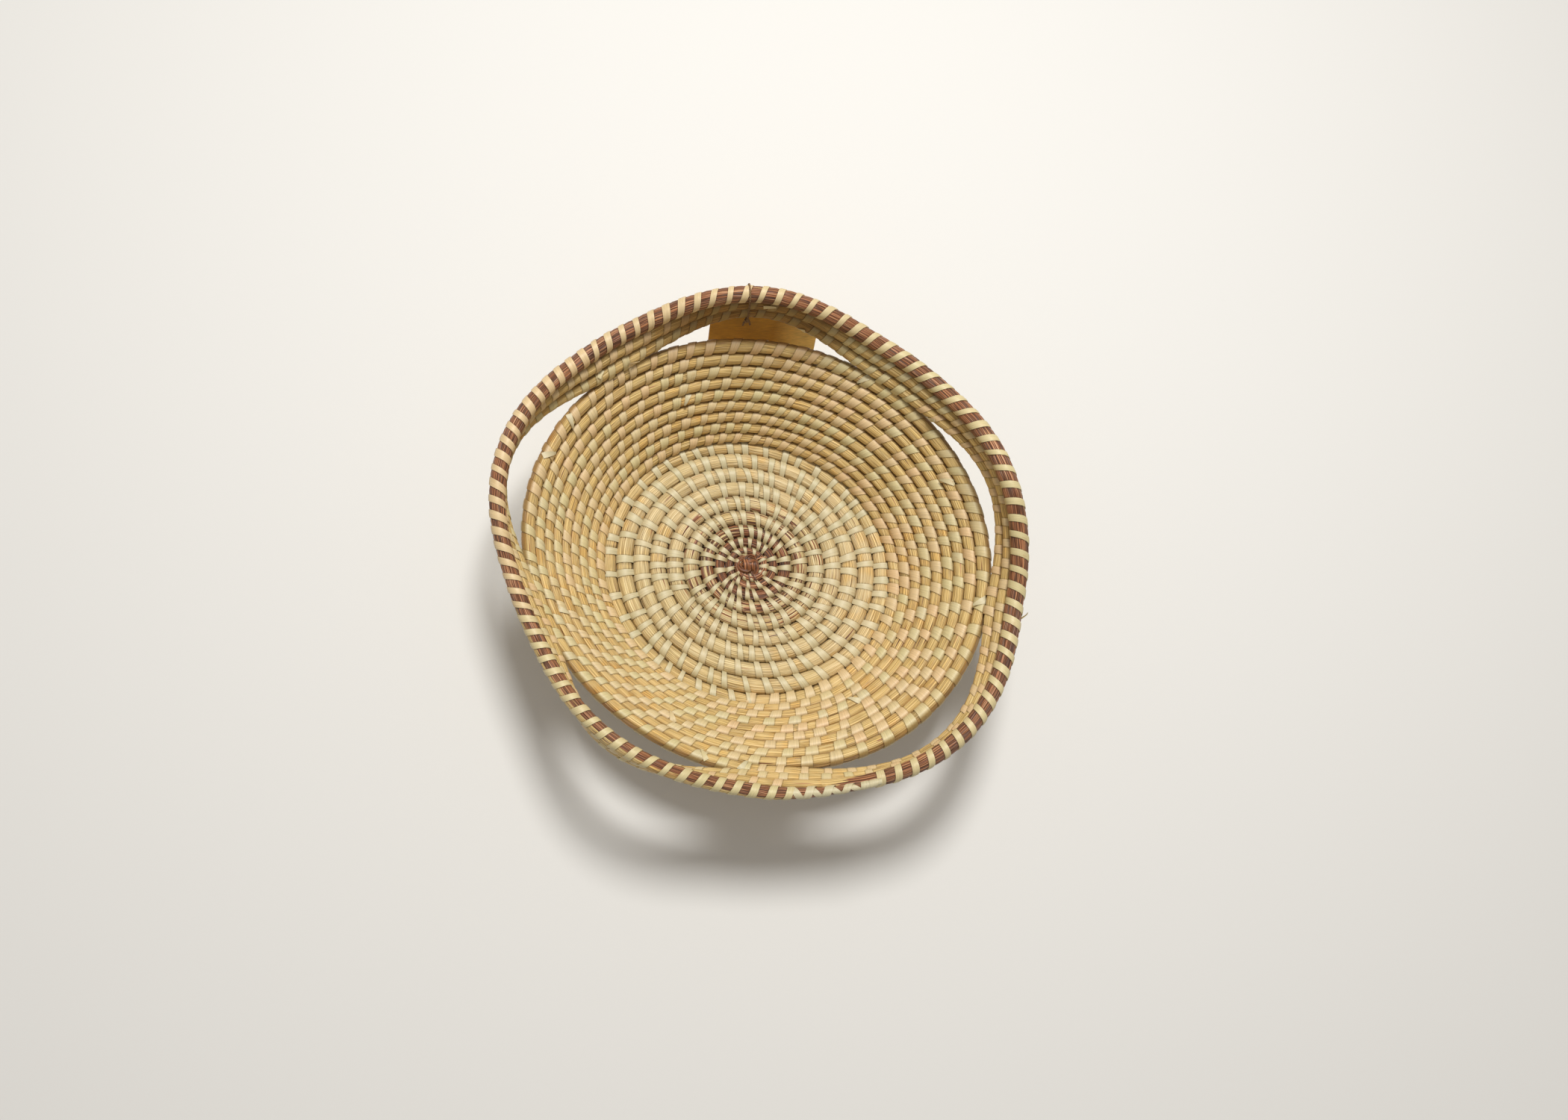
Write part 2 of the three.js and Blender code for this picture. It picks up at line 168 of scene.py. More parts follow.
def arch_share(azimuth, middle, half):
    away = np.minimum(np.abs(angle_between(azimuth, middle)) / half, 1)
    return np.cos(away * math.pi / 2) ** 2


def seat_lean(azimuth):
    return round_the_tray(SEATS, azimuth)


def stack_lean(turn):
    azimuth = azimuth_of(turn)
    seat = seat_lean(azimuth)
    lean = seat
    for middle, half, bulge, rise, arch_lean in ARCHES:
        lean = lean + (arch_lean - seat) * arch_share(azimuth, middle, half)
    return lean


def row_lean(turn):
    low = WALL_ANGLE * smooth((turn - BASE_TURNS) / BLEND_TURNS)
    seated = np.where(turn <= WALL_TOP + 1, seat_lean(azimuth_of(turn)), stack_lean(turn))
    high = mix(WALL_ANGLE, seated, smooth((turn - WALL_TOP) / BLEND_TURNS))
    return np.where(turn <= WALL_TOP, low, high)


def section_lean(turn):
    high = mix(WALL_ANGLE, stack_lean(turn), smooth((turn - WALL_TOP) / BLEND_TURNS))
    return np.radians(np.where(turn <= WALL_TOP, row_lean(turn), high))


def row_centre(turn):
    laps = np.maximum(np.floor(turn), 0)
    first = turn - laps
    radius = START_RADIUS + first * row_step(np.float64(1))
    height = bundle_width(np.minimum(turn, BASE_TURNS)) / 2 * math.cos(math.pi / 6)
    for lap in range(1, int(laps.max()) + 1):
        here = first + lap
        wound = here <= turn + TINY
        lean = np.radians(row_lean(here))
        step = row_step(here) * wound
        radius = radius + step * np.cos(lean)
        height = height + step * np.sin(lean)
        arched = wound & (here > WALL_TOP) & (here <= WALL_TOP + 1)
        for middle, half, bulge, rise, arch_lean in ARCHES:
            share = arch_share(azimuth_of(here), middle, half) * arched
            radius = radius + ARCH_BULGE * bulge * share
            height = height + ARCH_RISE * rise * share
    return radius, height


def wave_share(waves, azimuth):
    return sum(share * np.cos(np.radians(order * azimuth - phase)) for order, share, phase in waves)


BASE_EDGE = float(row_centre(np.array([float(BASE_TURNS)]))[0][0])
WALL_EDGE = float(row_centre(np.array([float(WALL_TOP)]))[0][0])


def place(azimuth, radius, height):
    blend = smooth((radius - BASE_EDGE) / (WALL_EDGE - BASE_EDGE))
    wave = mix(wave_share(BASE_WAVE_SHARES, azimuth), wave_share(RIM_WAVE_SHARES, azimuth), blend)
    waved = radius * (1 + wave)
    angle = np.radians(azimuth)
    return np.stack([waved * np.cos(angle), waved * np.sin(angle), height + 0 * waved], axis=-1)


def on_row(turn, out, up):
    """Points beside the coil's centre: out from the row below, and up from the inside face."""
    turn, out, up = np.broadcast_arrays(turn, out, up)
    radius, height = row_centre(turn)
    lean = section_lean(turn)
    radius = radius + out * np.cos(lean) - up * np.sin(lean)
    height = height + out * np.sin(lean) + up * np.cos(lean)
    return place(azimuth_of(turn), radius, height) + AXIS


WALL_STATIONS = 36


def axis_of_coil():
    """The coil's axis, found by laying the formula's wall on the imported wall."""
    stations = np.arange(WALL_STATIONS * BASE_TURNS, WALL_STATIONS * WALL_TOP + 1)
    turns = stations[:, None] / WALL_STATIONS
    angles = np.arange(6) * math.pi / 3
    reach = bundle_width(turns) / 2
    points = on_row(turns, reach * np.cos(angles), reach * np.sin(angles)).reshape(-1, 3)
    low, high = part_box("wall_coil")
    middle = (points.min(axis=0) + points.max(axis=0)) / 2
    return np.array([(low[0] + high[0]) / 2 - middle[0], (low[1] + high[1]) / 2 - middle[1], 0.0])


AXIS = np.zeros(3)
AXIS = axis_of_coil()


# Meshes, each with its material

FINE_STEPS = 30


def add_piece(name, points, faces, uvs, material, values):
    mesh = bpy.data.meshes.new(name)
    mesh.from_pydata(points.tolist(), [], faces)
    layer = mesh.uv_layers.new(name="UVMap")
    layer.data.foreach_set("uv", np.asarray(uvs, dtype=np.float32).ravel())
    for label, numbers in values.items():
        attribute = mesh.attributes.new(label, "FLOAT", "POINT")
        attribute.data.foreach_set("value", np.asarray(numbers, dtype=np.float32).ravel())
    mesh.materials.append(material)
    mesh.validate()
    piece = bpy.data.objects.new(name, mesh)
    bpy.context.scene.collection.objects.link(piece)
    bpy.ops.object.select_all(action="DESELECT")
    piece.select_set(True)
    bpy.context.view_layer.objects.active = piece
    bpy.ops.object.shade_smooth_by_angle(angle=math.radians(CREASE))
    return piece


def wound_faces(rings, corners, closed):
    """Quads between rings of corners, as indices and as the same for the texture grid."""
    ring = np.arange(rings if closed else rings - 1)[:, None]
    side = np.arange(corners)[None, :]
    after = (ring + 1) % rings
    across = (side + 1) % corners
    quads = np.stack(np.broadcast_arrays(
        ring * corners + side, after * corners + side,
        after * corners + across, ring * corners + across), axis=-1)
    grid = np.stack(np.broadcast_arrays(
        ring * (corners + 1) + side, (ring + 1) * (corners + 1) + side,
        (ring + 1) * (corners + 1) + side + 1, ring * (corners + 1) + side + 1), axis=-1)
    return quads.reshape(-1, 4), grid.reshape(-1, 4)


def add_tubes(name, points, along, around, values, material, closed=False):
    """Tubes alike, one or many: points are by tube, ring and corner, along by tube and ring."""
    tubes, rings, corners = points.shape[:3]
    quads, grid = wound_faces(rings, corners, closed)
    if closed:
        along = np.concatenate([along, 2 * along[:, -1:] - along[:, -2:-1]], axis=1)
    places = np.stack(np.broadcast_arrays(along[:, :, None], around[None, None, :]), axis=-1)
    uvs = places.reshape(tubes, -1, 2)[:, grid].reshape(-1, 2)
    first = np.arange(tubes)[:, None, None] * rings * corners
    faces = (quads[None] + first).reshape(-1, 4).tolist()
    if not closed:
        ends = np.arange(corners)
        start_caps = (ends + first[:, 0]).tolist()
        end_caps = (ends[::-1] + (rings - 1) * corners + first[:, 0]).tolist()
        faces += start_caps + end_caps
        start_uvs = np.repeat(places[:, 0, 0], corners, axis=0)
        end_uvs = np.repeat(places[:, -1, 0], corners, axis=0)
        uvs = np.concatenate([uvs, start_uvs, end_uvs])
    return add_piece(name, points.reshape(-1, 3), faces, uvs, material, values)


def beside(path, closed):
    """Two directions square to a path at each of its points, the second as near upright as it can be."""
    if closed:
        ahead = np.roll(path, -1, axis=0) - np.roll(path, 1, axis=0)
    else:
        ahead = np.gradient(path, axis=0)
    ahead = ahead / np.linalg.norm(ahead, axis=1, keepdims=True)
    across = np.cross(ahead, UP) + TINY
    across = across / np.linalg.norm(across, axis=1, keepdims=True)
    return across, np.cross(across, ahead)


def offset_path(path, closed, reach, angle):
    across, lift = beside(path, closed)
    return path + across * (reach * np.cos(angle))[:, None] + lift * (reach * np.sin(angle))[:, None]


def round_rings(path, closed, radius, corners):
    """Rings of corners round each point of a path."""
    across, lift = beside(path, closed)
    angles = np.arange(corners) * 2 * math.pi / corners
    radius = np.broadcast_to(radius, len(path))[:, None, None]
    spokes = across[:, None] * np.cos(angles)[:, None] + lift[:, None] * np.sin(angles)[:, None]
    return path[:, None] + radius * spokes


def lengths_along(path):
    return np.concatenate([[0], np.cumsum(np.linalg.norm(np.diff(path, axis=0), axis=1))])


def rounded(points, steps):
    """A smooth line through points, with its steps evenly spread."""
    before = np.concatenate([[2 * points[0] - points[1]], points, [2 * points[-1] - points[-2]]])
    line = []
    for first in range(len(points) - 1):
        a, b, c, d = before[first:first + 4]
        chords = [math.sqrt(np.linalg.norm(q - p)) for p, q in ((a, b), (b, c), (c, d))]
        knots = np.concatenate([[0], np.cumsum(chords)])
        t = np.linspace(knots[1], knots[2], FINE_STEPS, endpoint=first == len(points) - 2)[:, None]
        ab = a + (b - a) * (t - knots[0]) / (knots[1] - knots[0])
        bc = b + (c - b) * (t - knots[1]) / (knots[2] - knots[1])
        cd = c + (d - c) * (t - knots[2]) / (knots[3] - knots[2])
        abc = ab + (bc - ab) * (t - knots[0]) / (knots[2] - knots[0])
        bcd = bc + (cd - bc) * (t - knots[1]) / (knots[3] - knots[1])
        line.append(abc + (bcd - abc) * (t - knots[1]) / (knots[2] - knots[1]))
    line = np.concatenate(line)
    places = lengths_along(line)
    even = np.linspace(0, places[-1], steps)
    return np.stack([np.interp(even, places, line[:, axis]) for axis in range(3)], axis=-1)


# Where the stitches are, how they slant and which piece of strip sews them

CLOSE_RADIUS = 10 * MM
OPENING_RUN = 60 * MM
CLOSE_SPACING = 5.4 * MM
OPEN_SPACING = 10.6 * MM
CLOSEST_STEP = 0.76
SEW_STEPS = 4000
TONE_SPREAD = 0.05
FACE = 0.5
CREST = 1.0


def turns_long(length, turn):
    return length / (2 * math.pi * row_centre(np.atleast_1d(np.float64(turn)))[0])


def base_spacing(turn):
    outward = (row_centre(turn)[0] - CLOSE_RADIUS) / OPENING_RUN
    return mix(CLOSE_SPACING, OPEN_SPACING, np.clip(outward, 0, 1))


def wall_spacing(turn):
    return MM * round_the_tray(WALL_SPACINGS, azimuth_of(turn))


def wall_strip(turn):
    return MM * round_the_tray(WALL_STRIPS, azimuth_of(turn))


def rim_spacing(turn):
    return MM * round_the_tray(RIM_SPACINGS, azimuth_of(turn))


def sew(start, end, spacing, slants, pull, jitter):
    """The turns of the stitches: pull says how closely each keeps to the stitch in the row below."""
    grid = np.linspace(start, end, SEW_STEPS)
    steps = turns_long(1, grid) * spacing(grid)
    leans = turns_long(1, grid) * MM * round_the_tray(slants, azimuth_of(grid))
    staggers = round_the_tray(STAGGER_SHARES, azimuth_of(grid))
    stitches = [start]
    while stitches[-1] < end:
        last = stitches[-1]
        step, lean, stagger = (np.interp(last, grid, values) for values in (steps, leans, staggers))
        following = last + step * (1 + jitter * rng.uniform(-1, 1))
        if last - start > 1:
            beside = np.array(stitches) + 1 + lean + stagger * step
            nearest = beside[np.argmin(np.abs(beside - following))]
            following = max(mix(following, nearest, pull), last + CLOSEST_STEP * step)
        stitches.append(following)
    return np.array([turn for turn in stitches if turn < end])


def strip_tones(count, mildest, warmest):
    """Each length of strip sews several stitches, which share its colour."""
    tones = []
    while len(tones) < count:
        tones += [rng.uniform(mildest, warmest)] * int(rng.integers(5, 15))
    return np.clip(np.array(tones[:count]) + rng.normal(0, TONE_SPREAD, count), 0, 1)


def round_row(angle):
    """How far round the row a strip has gone: 0 at the row below, 0.5 on the face, 1 on the crest."""
    return (math.pi - angle) % (2 * math.pi) / math.pi


class Stitches:
    """Stitches: the turn, slant, width, lift and colour of each, and where round its row its middle is."""

    def __init__(self, turns, slants, width, mildest, warmest, middle=FACE, unruly=0.7):
        count = len(turns)
        self.turns = turns
        self.middles = np.full(count, middle)
        self.slants = MM * (round_the_tray(slants, azimuth_of(turns)) + rng.normal(0, unruly, count))
        self.widths = width * rng.uniform(0.8, 1.16, count)
        self.lifts = rng.uniform(-0.06, 0.10, count) * MM
        self.tones = strip_tones(count, mildest, warmest)

    def only(self, kept):
        part = Stitches.__new__(Stitches)
        for label, numbers in vars(self).items():
            setattr(part, label, numbers[kept])
        return part


def all_of(sets):
    whole = Stitches.__new__(Stitches)
    for label in vars(sets[0]):
        setattr(whole, label, np.concatenate([getattr(each, label) for each in sets]))
    order = np.argsort(whole.turns)
    return whole.only(order)


def edge_distance(turns, angles, stitches):
    """How far along the row each point lies from the edge of the nearest strip."""
    long = turns_long(1, turns)
    after = np.clip(np.searchsorted(stitches.turns, turns), 1, len(stitches.turns) - 1)
    nearest = np.full((len(turns), len(angles)), np.inf)
    for index in (after - 1, after):
        shift = stitches.slants[index][:, None] * (round_row(angles) - stitches.middles[index][:, None])
        away = np.abs((turns - stitches.turns[index])[:, None] / long[:, None] - shift)
        nearest = np.minimum(nearest, away - stitches.widths[index][:, None] / 2)
    return nearest


# The rows: bundles of grass or needles, squeezed where the strip goes round them

ROW_CORNERS = 30
ROW_PACE = 2.1 * MM
ROW_CLEAR = 0.25 * MM
STRIP_CLEAR = 0.04 * MM
ROW_FLATNESS = 0.92
GAP_FILLED = 0.33
GIRTH_ALONG = 0.6
PINCH = 0.065
PINCH_REACH = 3.6
SWELL = 0.014
CLUMP = 0.012
CLUMP_ORDERS = (5, 8, 13)
PINE_SHARES = [(0, 1.0), (2.05, 0.92), (2.5, 0.66), (3.05, 0.44), (3.6, 0.30), (4.6, 0.22), (5.6, 0.0)]


def row_half(turn):
    """Half the row's thickness from the row below to the row above, and from face to face."""
    width = bundle_width(turn)
    gap = mix(ROW_GAP, SEWN_GAP, smooth((turn - WALL_TOP + 1) / BLEND_TURNS))
    girth = mix(1, round_the_tray(RIM_GIRTHS, azimuth_of(turn)), smooth((turn - RIM_TURN - 0.02) / 0.08))
    girth = mix(girth, 1, smooth((turn - COIL_END + 0.06) / 0.06))
    return width / 2 * mix(1, girth, GIRTH_ALONG) + gap * GAP_FILLED, width / 2 * ROW_FLATNESS * girth


def sum_of_waves(along, count, longest, seed):
    waves = np.random.default_rng(seed)
    total = 0 * along
    for wave in range(count):
        length = longest * waves.uniform(0.25, 1)
        total = total + np.sin(along * 2 * math.pi / length + waves.uniform(0, 2 * math.pi))
    return total / math.sqrt(count)


def pine_share(turns, angles):
    """How much of the bundle's surface is pine needles, from 0 to 1."""
    turns = turns[:, None]
    azimuth = azimuth_of(turns)
    start = np.interp(turns, [turn for turn, share in PINE_SHARES], [share for turn, share in PINE_SHARES])
    outer = 1 - np.abs(angle_between(np.degrees(angles), -90)) / 88
    golden = smooth(outer * 2.6) * smooth(1.7 - np.abs(angle_between(azimuth, 236)) / 34)
    rim = 1 - 0.9 * golden
    begun = smooth((turns - RIM_TURN - 0.028) / 0.04)
    beginning = smooth(1.6 * begun + np.cos(angles) - 0.9)
    late = np.where(turns < RIM_TURN + 0.08, beginning, rim)
    return np.where(turns < RIM_TURN - 1, start, np.where(turns < RIM_TURN, 0, late))


# The painted shade in the hollows between rows: how dark it is, and how far out on the row's side it begins

START_DEPTH = 0.95
BASE_DEPTH = 0.34
WALL_DEPTH = 1.0
START_BRINK = 0.05
BASE_BRINK = 0.5
WALL_BRINK = 0.70
HOLLOW_FLOOR = 0.98
# Painted shade inside the far gallery: the azimuth it centres on and how far it spreads, in degrees
SHADED_GALLERY_AZIMUTH = 92
SHADED_GALLERY_SPREAD = 20


def painted_shade_at(turns, angles):
    """Painted shade: 1 down in the groove between two rows and inside the far gallery, 0 on the open face.
    """
    shaded = np.where(turns > RIM_START_TURN, np.cos(angles) < 0, 1)
    outward = smooth((turns - 1.5) / 4.5)
    up_wall = smooth((turns - BASE_TURNS + 0.5) / 1.5)
    depth = mix(mix(START_DEPTH, BASE_DEPTH, outward), WALL_DEPTH, up_wall)
    brink = mix(mix(START_BRINK, BASE_BRINK, outward), WALL_BRINK, up_wall)
    hollow_shade = depth * shaded * smooth((np.abs(np.cos(angles)) - brink) / (HOLLOW_FLOOR - brink))
    far = smooth(1.6 - np.abs(angle_between(azimuth_of(turns), SHADED_GALLERY_AZIMUTH)) / SHADED_GALLERY_SPREAD)
    inside = far * smooth(np.sin(angles) + 0.6)
    return np.maximum(hollow_shade, inside * (turns > WALL_TOP) * (turns < RIM_START_TURN))


def add_row(name, node, start, end, stitches, material, seed):
    middle = row_centre(np.array([(start + end) / 2]))[0][0]
    steps = max(8, int((end - start) * 2 * math.pi * middle / ROW_PACE))
    turns = np.linspace(start, end, steps)
    radius = row_centre(turns)[0]
    along = np.concatenate([[0], np.cumsum(np.diff(turns) * 2 * math.pi * (radius[1:] + radius[:-1]) / 2)])
    half_out, half_up = row_half(turns)
    angles = np.arange(ROW_CORNERS) * 2 * math.pi / ROW_CORNERS
    edge = edge_distance(turns, angles, stitches)
    pinch = PINCH * (1 - smooth((edge / MM + 0.8) / PINCH_REACH))
    swell = SWELL * sum_of_waves(along, 4, 60 * MM, seed)
    twist = 0.5 * sum_of_waves(along, 3, 220 * MM, seed + 1)
    clumps = 0
    for order in CLUMP_ORDERS:
        drift = sum_of_waves(along, 3, 140 * MM, seed + order)[:, None]
        clumps = clumps + CLUMP * np.sin(order * (angles[None, :] + twist[:, None] * 0.3) + 2 * drift)
    size = 1.02 - pinch + swell[:, None] + clumps
    out = half_out[:, None] * np.cos(angles) * size
    up = half_up[:, None] * np.sin(angles) * size
    points = on_row(turns[:, None], out, up)
    points[..., 2] = np.maximum(points[..., 2], ROW_CLEAR)
    around = np.linspace(0, math.pi * float(half_out.mean() + half_up.mean()) / CM, ROW_CORNERS + 1)
    golden = np.broadcast_to(smooth((turns - BASE_TURNS + 2.2) / 3.2)[:, None], edge.shape)
    # Painted shade in the grooves between rows and inside the far gallery, kept as an attribute for the
    # material
    hollow_shade = painted_shade_at(turns[:, None], angles)
    values = {"edge": edge / MM, "pine": pine_share(turns, angles), "hollow_shade": hollow_shade, "golden": golden}
    piece = add_tubes(name, points[None], along[None] / CM, around, values, material)
    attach(piece, "tray")
    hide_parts(node)


# A stitch: one flat band of strip round a row, with its inner end sunk into the row below

BAND_STEPS = 12
BAND_SIDES = np.array([-1, -1, -0.5, 0.5, 1, 1])
BAND_HEIGHTS = STRIP_EDGE + np.array([-STRIP_SUNK, 0, STRIP_CROWN, STRIP_CROWN, 0, -STRIP_SUNK])
BAND_PLACES = np.array([0, 0.06, 0.18, 0.34, 0.46, 0.52, 1.0])
BAND_ANGLES = (np.arange(BAND_STEPS) + 0.5) * 2 * math.pi / BAND_STEPS
BAND_PACE = 0.22
ANYWHERE = 50


def band_points(stitches, dip, taper):
    """One closed band for each turn: its rings run round the row and its corners across the strip."""
    cos, sin = np.cos(BAND_ANGLES)[None, :, None], np.sin(BAND_ANGLES)[None, :, None]
    inner = ((1 - cos) / 2) ** 4
    turns = stitches.turns[:, None, None]
    half_out, half_up = row_half(turns)
    height = stitches.lifts[:, None, None] + BAND_HEIGHTS
    out = (half_out + height) * cos - dip * inner
    up = (half_up + height) * sin * (1 - 0.3 * inner)
    half = stitches.widths[:, None, None] / 2 * (1 - taper * (1 - cos) / 2)
    gone = round_row(BAND_ANGLES)[None, :, None] - stitches.middles[:, None, None]
    shift = stitches.slants[:, None, None] * gone + BAND_SIDES * half
    here = turns + shift * turns_long(1, stitches.turns)[:, None, None]
    return on_row(here, out, up)


def add_stitches(name, stitches, dip, taper):
    points = band_points(stitches, dip, taper)
    points[..., 2] = np.maximum(points[..., 2], STRIP_CLEAR)
    along = np.arange(BAND_STEPS) * BAND_PACE + rng.uniform(0, ANYWHERE, len(points))[:, None]
    tone = stitches.tones[:, None, None]
    # The strips get the same painted shade in the grooves and inside the far gallery
    hollow_shade = painted_shade_at(stitches.turns[:, None, None], BAND_ANGLES[None, :, None])
    values = {
        "tone": np.broadcast_to(tone, points.shape[:3]),
        "hollow_shade": np.broadcast_to(hollow_shade, points.shape[:3]),
    }
    piece = add_tubes(name, points, along, BAND_PLACES, values, palmetto, closed=True)
    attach(piece, "tray")
    return piece


# Materials


def new_material(name):
    material = bpy.data.materials.new(name)
    material.use_nodes = True
    tree = material.node_tree
    return material, tree, tree.nodes["Principled BSDF"]


def add_node(tree, kind, links=None, **settings):
    node = tree.nodes.new(kind)
    for key, value in settings.items():
        setattr(node, key, value)
    for key, value in (links or {}).items():
        if isinstance(value, bpy.types.NodeSocket):
            tree.links.new(value, node.inputs[key])
        else:
            node.inputs[key].default_value = value
    return node


def ramp(tree, factor, stops):
    node = add_node(tree, "ShaderNodeValToRGB", {0: factor})
    elements = node.color_ramp.elements
    elements[0].position, elements[0].color = stops[0][0], (*stops[0][1], 1)
    elements[1].position, elements[1].color = stops[-1][0], (*stops[-1][1], 1)
    for position, colour in stops[1:-1]:
        element = elements.new(position)
        element.color = (*colour, 1)
    return node.outputs["Color"]


def blend_colour(tree, factor, low, high, kind="MIX"):
    node = add_node(tree, "ShaderNodeMix", data_type="RGBA", blend_type=kind)
    for index, value in ((0, factor), (6, low), (7, high)):
        if isinstance(value, bpy.types.NodeSocket):
            tree.links.new(value, node.inputs[index])
        else:
            node.inputs[index].default_value = value if index == 0 else (*value, 1)
    return node.outputs[2]


def tinted(tree, colour, tint):
    return blend_colour(tree, 1.0, colour, tint, "MULTIPLY")


def mapped(tree, value, low, high, first, last):
    node = add_node(tree, "ShaderNodeMapRange", {0: value, 1: low, 2: high, 3: first, 4: last})
    return node.outputs[0]


def noise(tree, vector, scale, detail):
    node = add_node(tree, "ShaderNodeTexNoise", {"Vector": vector, "Scale": scale, "Detail": detail})
    return node.outputs[0]


def stretched(tree, vector, scale):
    return add_node(tree, "ShaderNodeMapping", {"Vector": vector, "Scale": scale}).outputs[0]


def worked_out(tree, operation, first, second):
    return add_node(tree, "ShaderNodeMath", {0: first, 1: second}, operation=operation).outputs[0]


def moved(tree, operation, vector, by):
    return add_node(tree, "ShaderNodeVectorMath", {0: vector, 1: by}, operation=operation).outputs[0]


def split_axes(tree, vector):
    return add_node(tree, "ShaderNodeSeparateXYZ", {0: vector}).outputs


def uv_place(tree):
    return add_node(tree, "ShaderNodeUVMap", uv_map="UVMap").outputs[0]


def object_place(tree):
    return add_node(tree, "ShaderNodeTexCoord").outputs["Object"]


def attribute(tree, name):
    return add_node(tree, "ShaderNodeAttribute", attribute_name=name).outputs["Fac"]


def finish_surface(tree, shader, colour, height, strength, reach, roughness):
    bump = add_node(tree, "ShaderNodeBump", {"Strength": strength, "Distance": reach, "Height": height})
    tree.links.new(colour, shader.inputs["Base Color"])
    tree.links.new(bump.outputs[0], shader.inputs["Normal"])
    shader.inputs["Roughness"].default_value = roughness


# How fine the strands are across the bundle, and how short along it
STRAND_FINENESS = 13.0
STRAND_STRETCH = 0.28
SLIT_WIDTH = 0.16


def strand_group():
    """Long thin strands: each strand's shade, the slits between them, their height and their kind."""
    tree = bpy.data.node_groups.new("Strands", "ShaderNodeTree")
    for name, value in (("Fineness", STRAND_FINENESS), ("Stretch", STRAND_STRETCH), ("Seed", 0.0)):
        socket = tree.interface.new_socket(name, in_out="INPUT", socket_type="NodeSocketFloat")
        socket.default_value = value
    for name in ("Shade", "Slit", "Height", "Kind"):
        tree.interface.new_socket(name, in_out="OUTPUT", socket_type="NodeSocketFloat")
    inputs = tree.nodes.new("NodeGroupInput").outputs
    outputs = tree.nodes.new("NodeGroupOutput").inputs
    uv = uv_place(tree)
    along_and_round = split_axes(tree, uv)
    sway = worked_out(tree, "MULTIPLY", noise(tree, uv, 0.35, 1.0), 0.22)
    swayed = worked_out(tree, "ADD", along_and_round[1], sway)
    fine = worked_out(tree, "MULTIPLY", swayed, inputs["Fineness"])
    long = worked_out(tree, "MULTIPLY", along_and_round[0], inputs["Stretch"])
    strand = add_node(tree, "ShaderNodeCombineXYZ", {0: long, 1: fine, 2: inputs["Seed"]}).outputs[0]
    shade = noise(tree, strand, 1.0, 2.0)
    cells = add_node(
        tree, "ShaderNodeTexVoronoi", {"Vector": strand, "Scale": 0.9}, feature="DISTANCE_TO_EDGE")
    slit = mapped(tree, cells.outputs[0], 0.0, SLIT_WIDTH, 1.0, 0.0)
    wide = moved(tree, "MULTIPLY", moved(tree, "ADD", strand, (0.0, 0.0, 7.0)), (1.6, 0.75, 1.0))
    tree.links.new(shade, outputs["Shade"])
    tree.links.new(slit, outputs["Slit"])
    tree.links.new(worked_out(tree, "SUBTRACT", shade, slit), outputs["Height"])
    tree.links.new(noise(tree, wide, 1.0, 0.0), outputs["Kind"])
    return tree


STRANDS = strand_group()

GRASS_STOPS = [
    (0.24, (0.484, 0.309, 0.127)),
    (0.36, (0.690, 0.490, 0.224)),
    (0.50, (0.799, 0.593, 0.290)),
    (0.62, (0.871, 0.665, 0.351)),
    (0.76, (0.970, 0.799, 0.466)),
]
PINE_STOPS = [
    (0.28, (0.120, 0.037, 0.013)),
    (0.42, (0.300, 0.110, 0.045)),
    (0.54, (0.450, 0.190, 0.083)),
    (0.70, (0.680, 0.370, 0.180)),
]
STRIP_STOPS = [
    (0.0, (0.620, 0.565, 0.360)),
    (0.3, (0.675, 0.590, 0.380)),
    (0.5, (0.665, 0.575, 0.309)),
    (0.75, (0.714, 0.559, 0.317)),
    (1.0, (0.744, 0.532, 0.290)),
]
TWINE_STOPS = [
    (0.3, (0.10, 0.052, 0.024)),
    (0.7, (0.36, 0.22, 0.10)),
]
GOLD_TINT = (1.12, 0.96, 0.66)
KHAKI_TINT = (0.92, 0.935, 0.88)
WALL_TINT = (1.01, 0.965, 0.80)
BASE_TINT = (1.0, 1.065, 1.18)
# Colour multiplied in for painted shade
HOLLOW_SHADE_TINT = (0.50, 0.39, 0.25)
# Painted shade in the slits between strands: grass, then pine
GRASS_SLIT_SHADE = (0.15, 0.070, 0.024)
PINE_SLIT_SHADE = (0.062, 0.023, 0.012)
STRIP_STAIN = (0.50, 0.34, 0.15)
# Painted shade on the strip's cut side and underside
STRIP_SIDE_SHADE = (0.22, 0.13, 0.05)
# The card's brown, then the paler colour of the painted light across it
CARD_BROWN = (0.58, 0.28, 0.021)
CARD_PAINTED_LIGHT = (0.86, 0.58, 0.175)


# Painted shade: darkens the colour where the shade attribute is high
def paint_hollow_shade(tree, colour):
    return blend_colour(tree, attribute(tree, "hollow_shade"), colour, tinted(tree, colour, HOLLOW_SHADE_TINT))


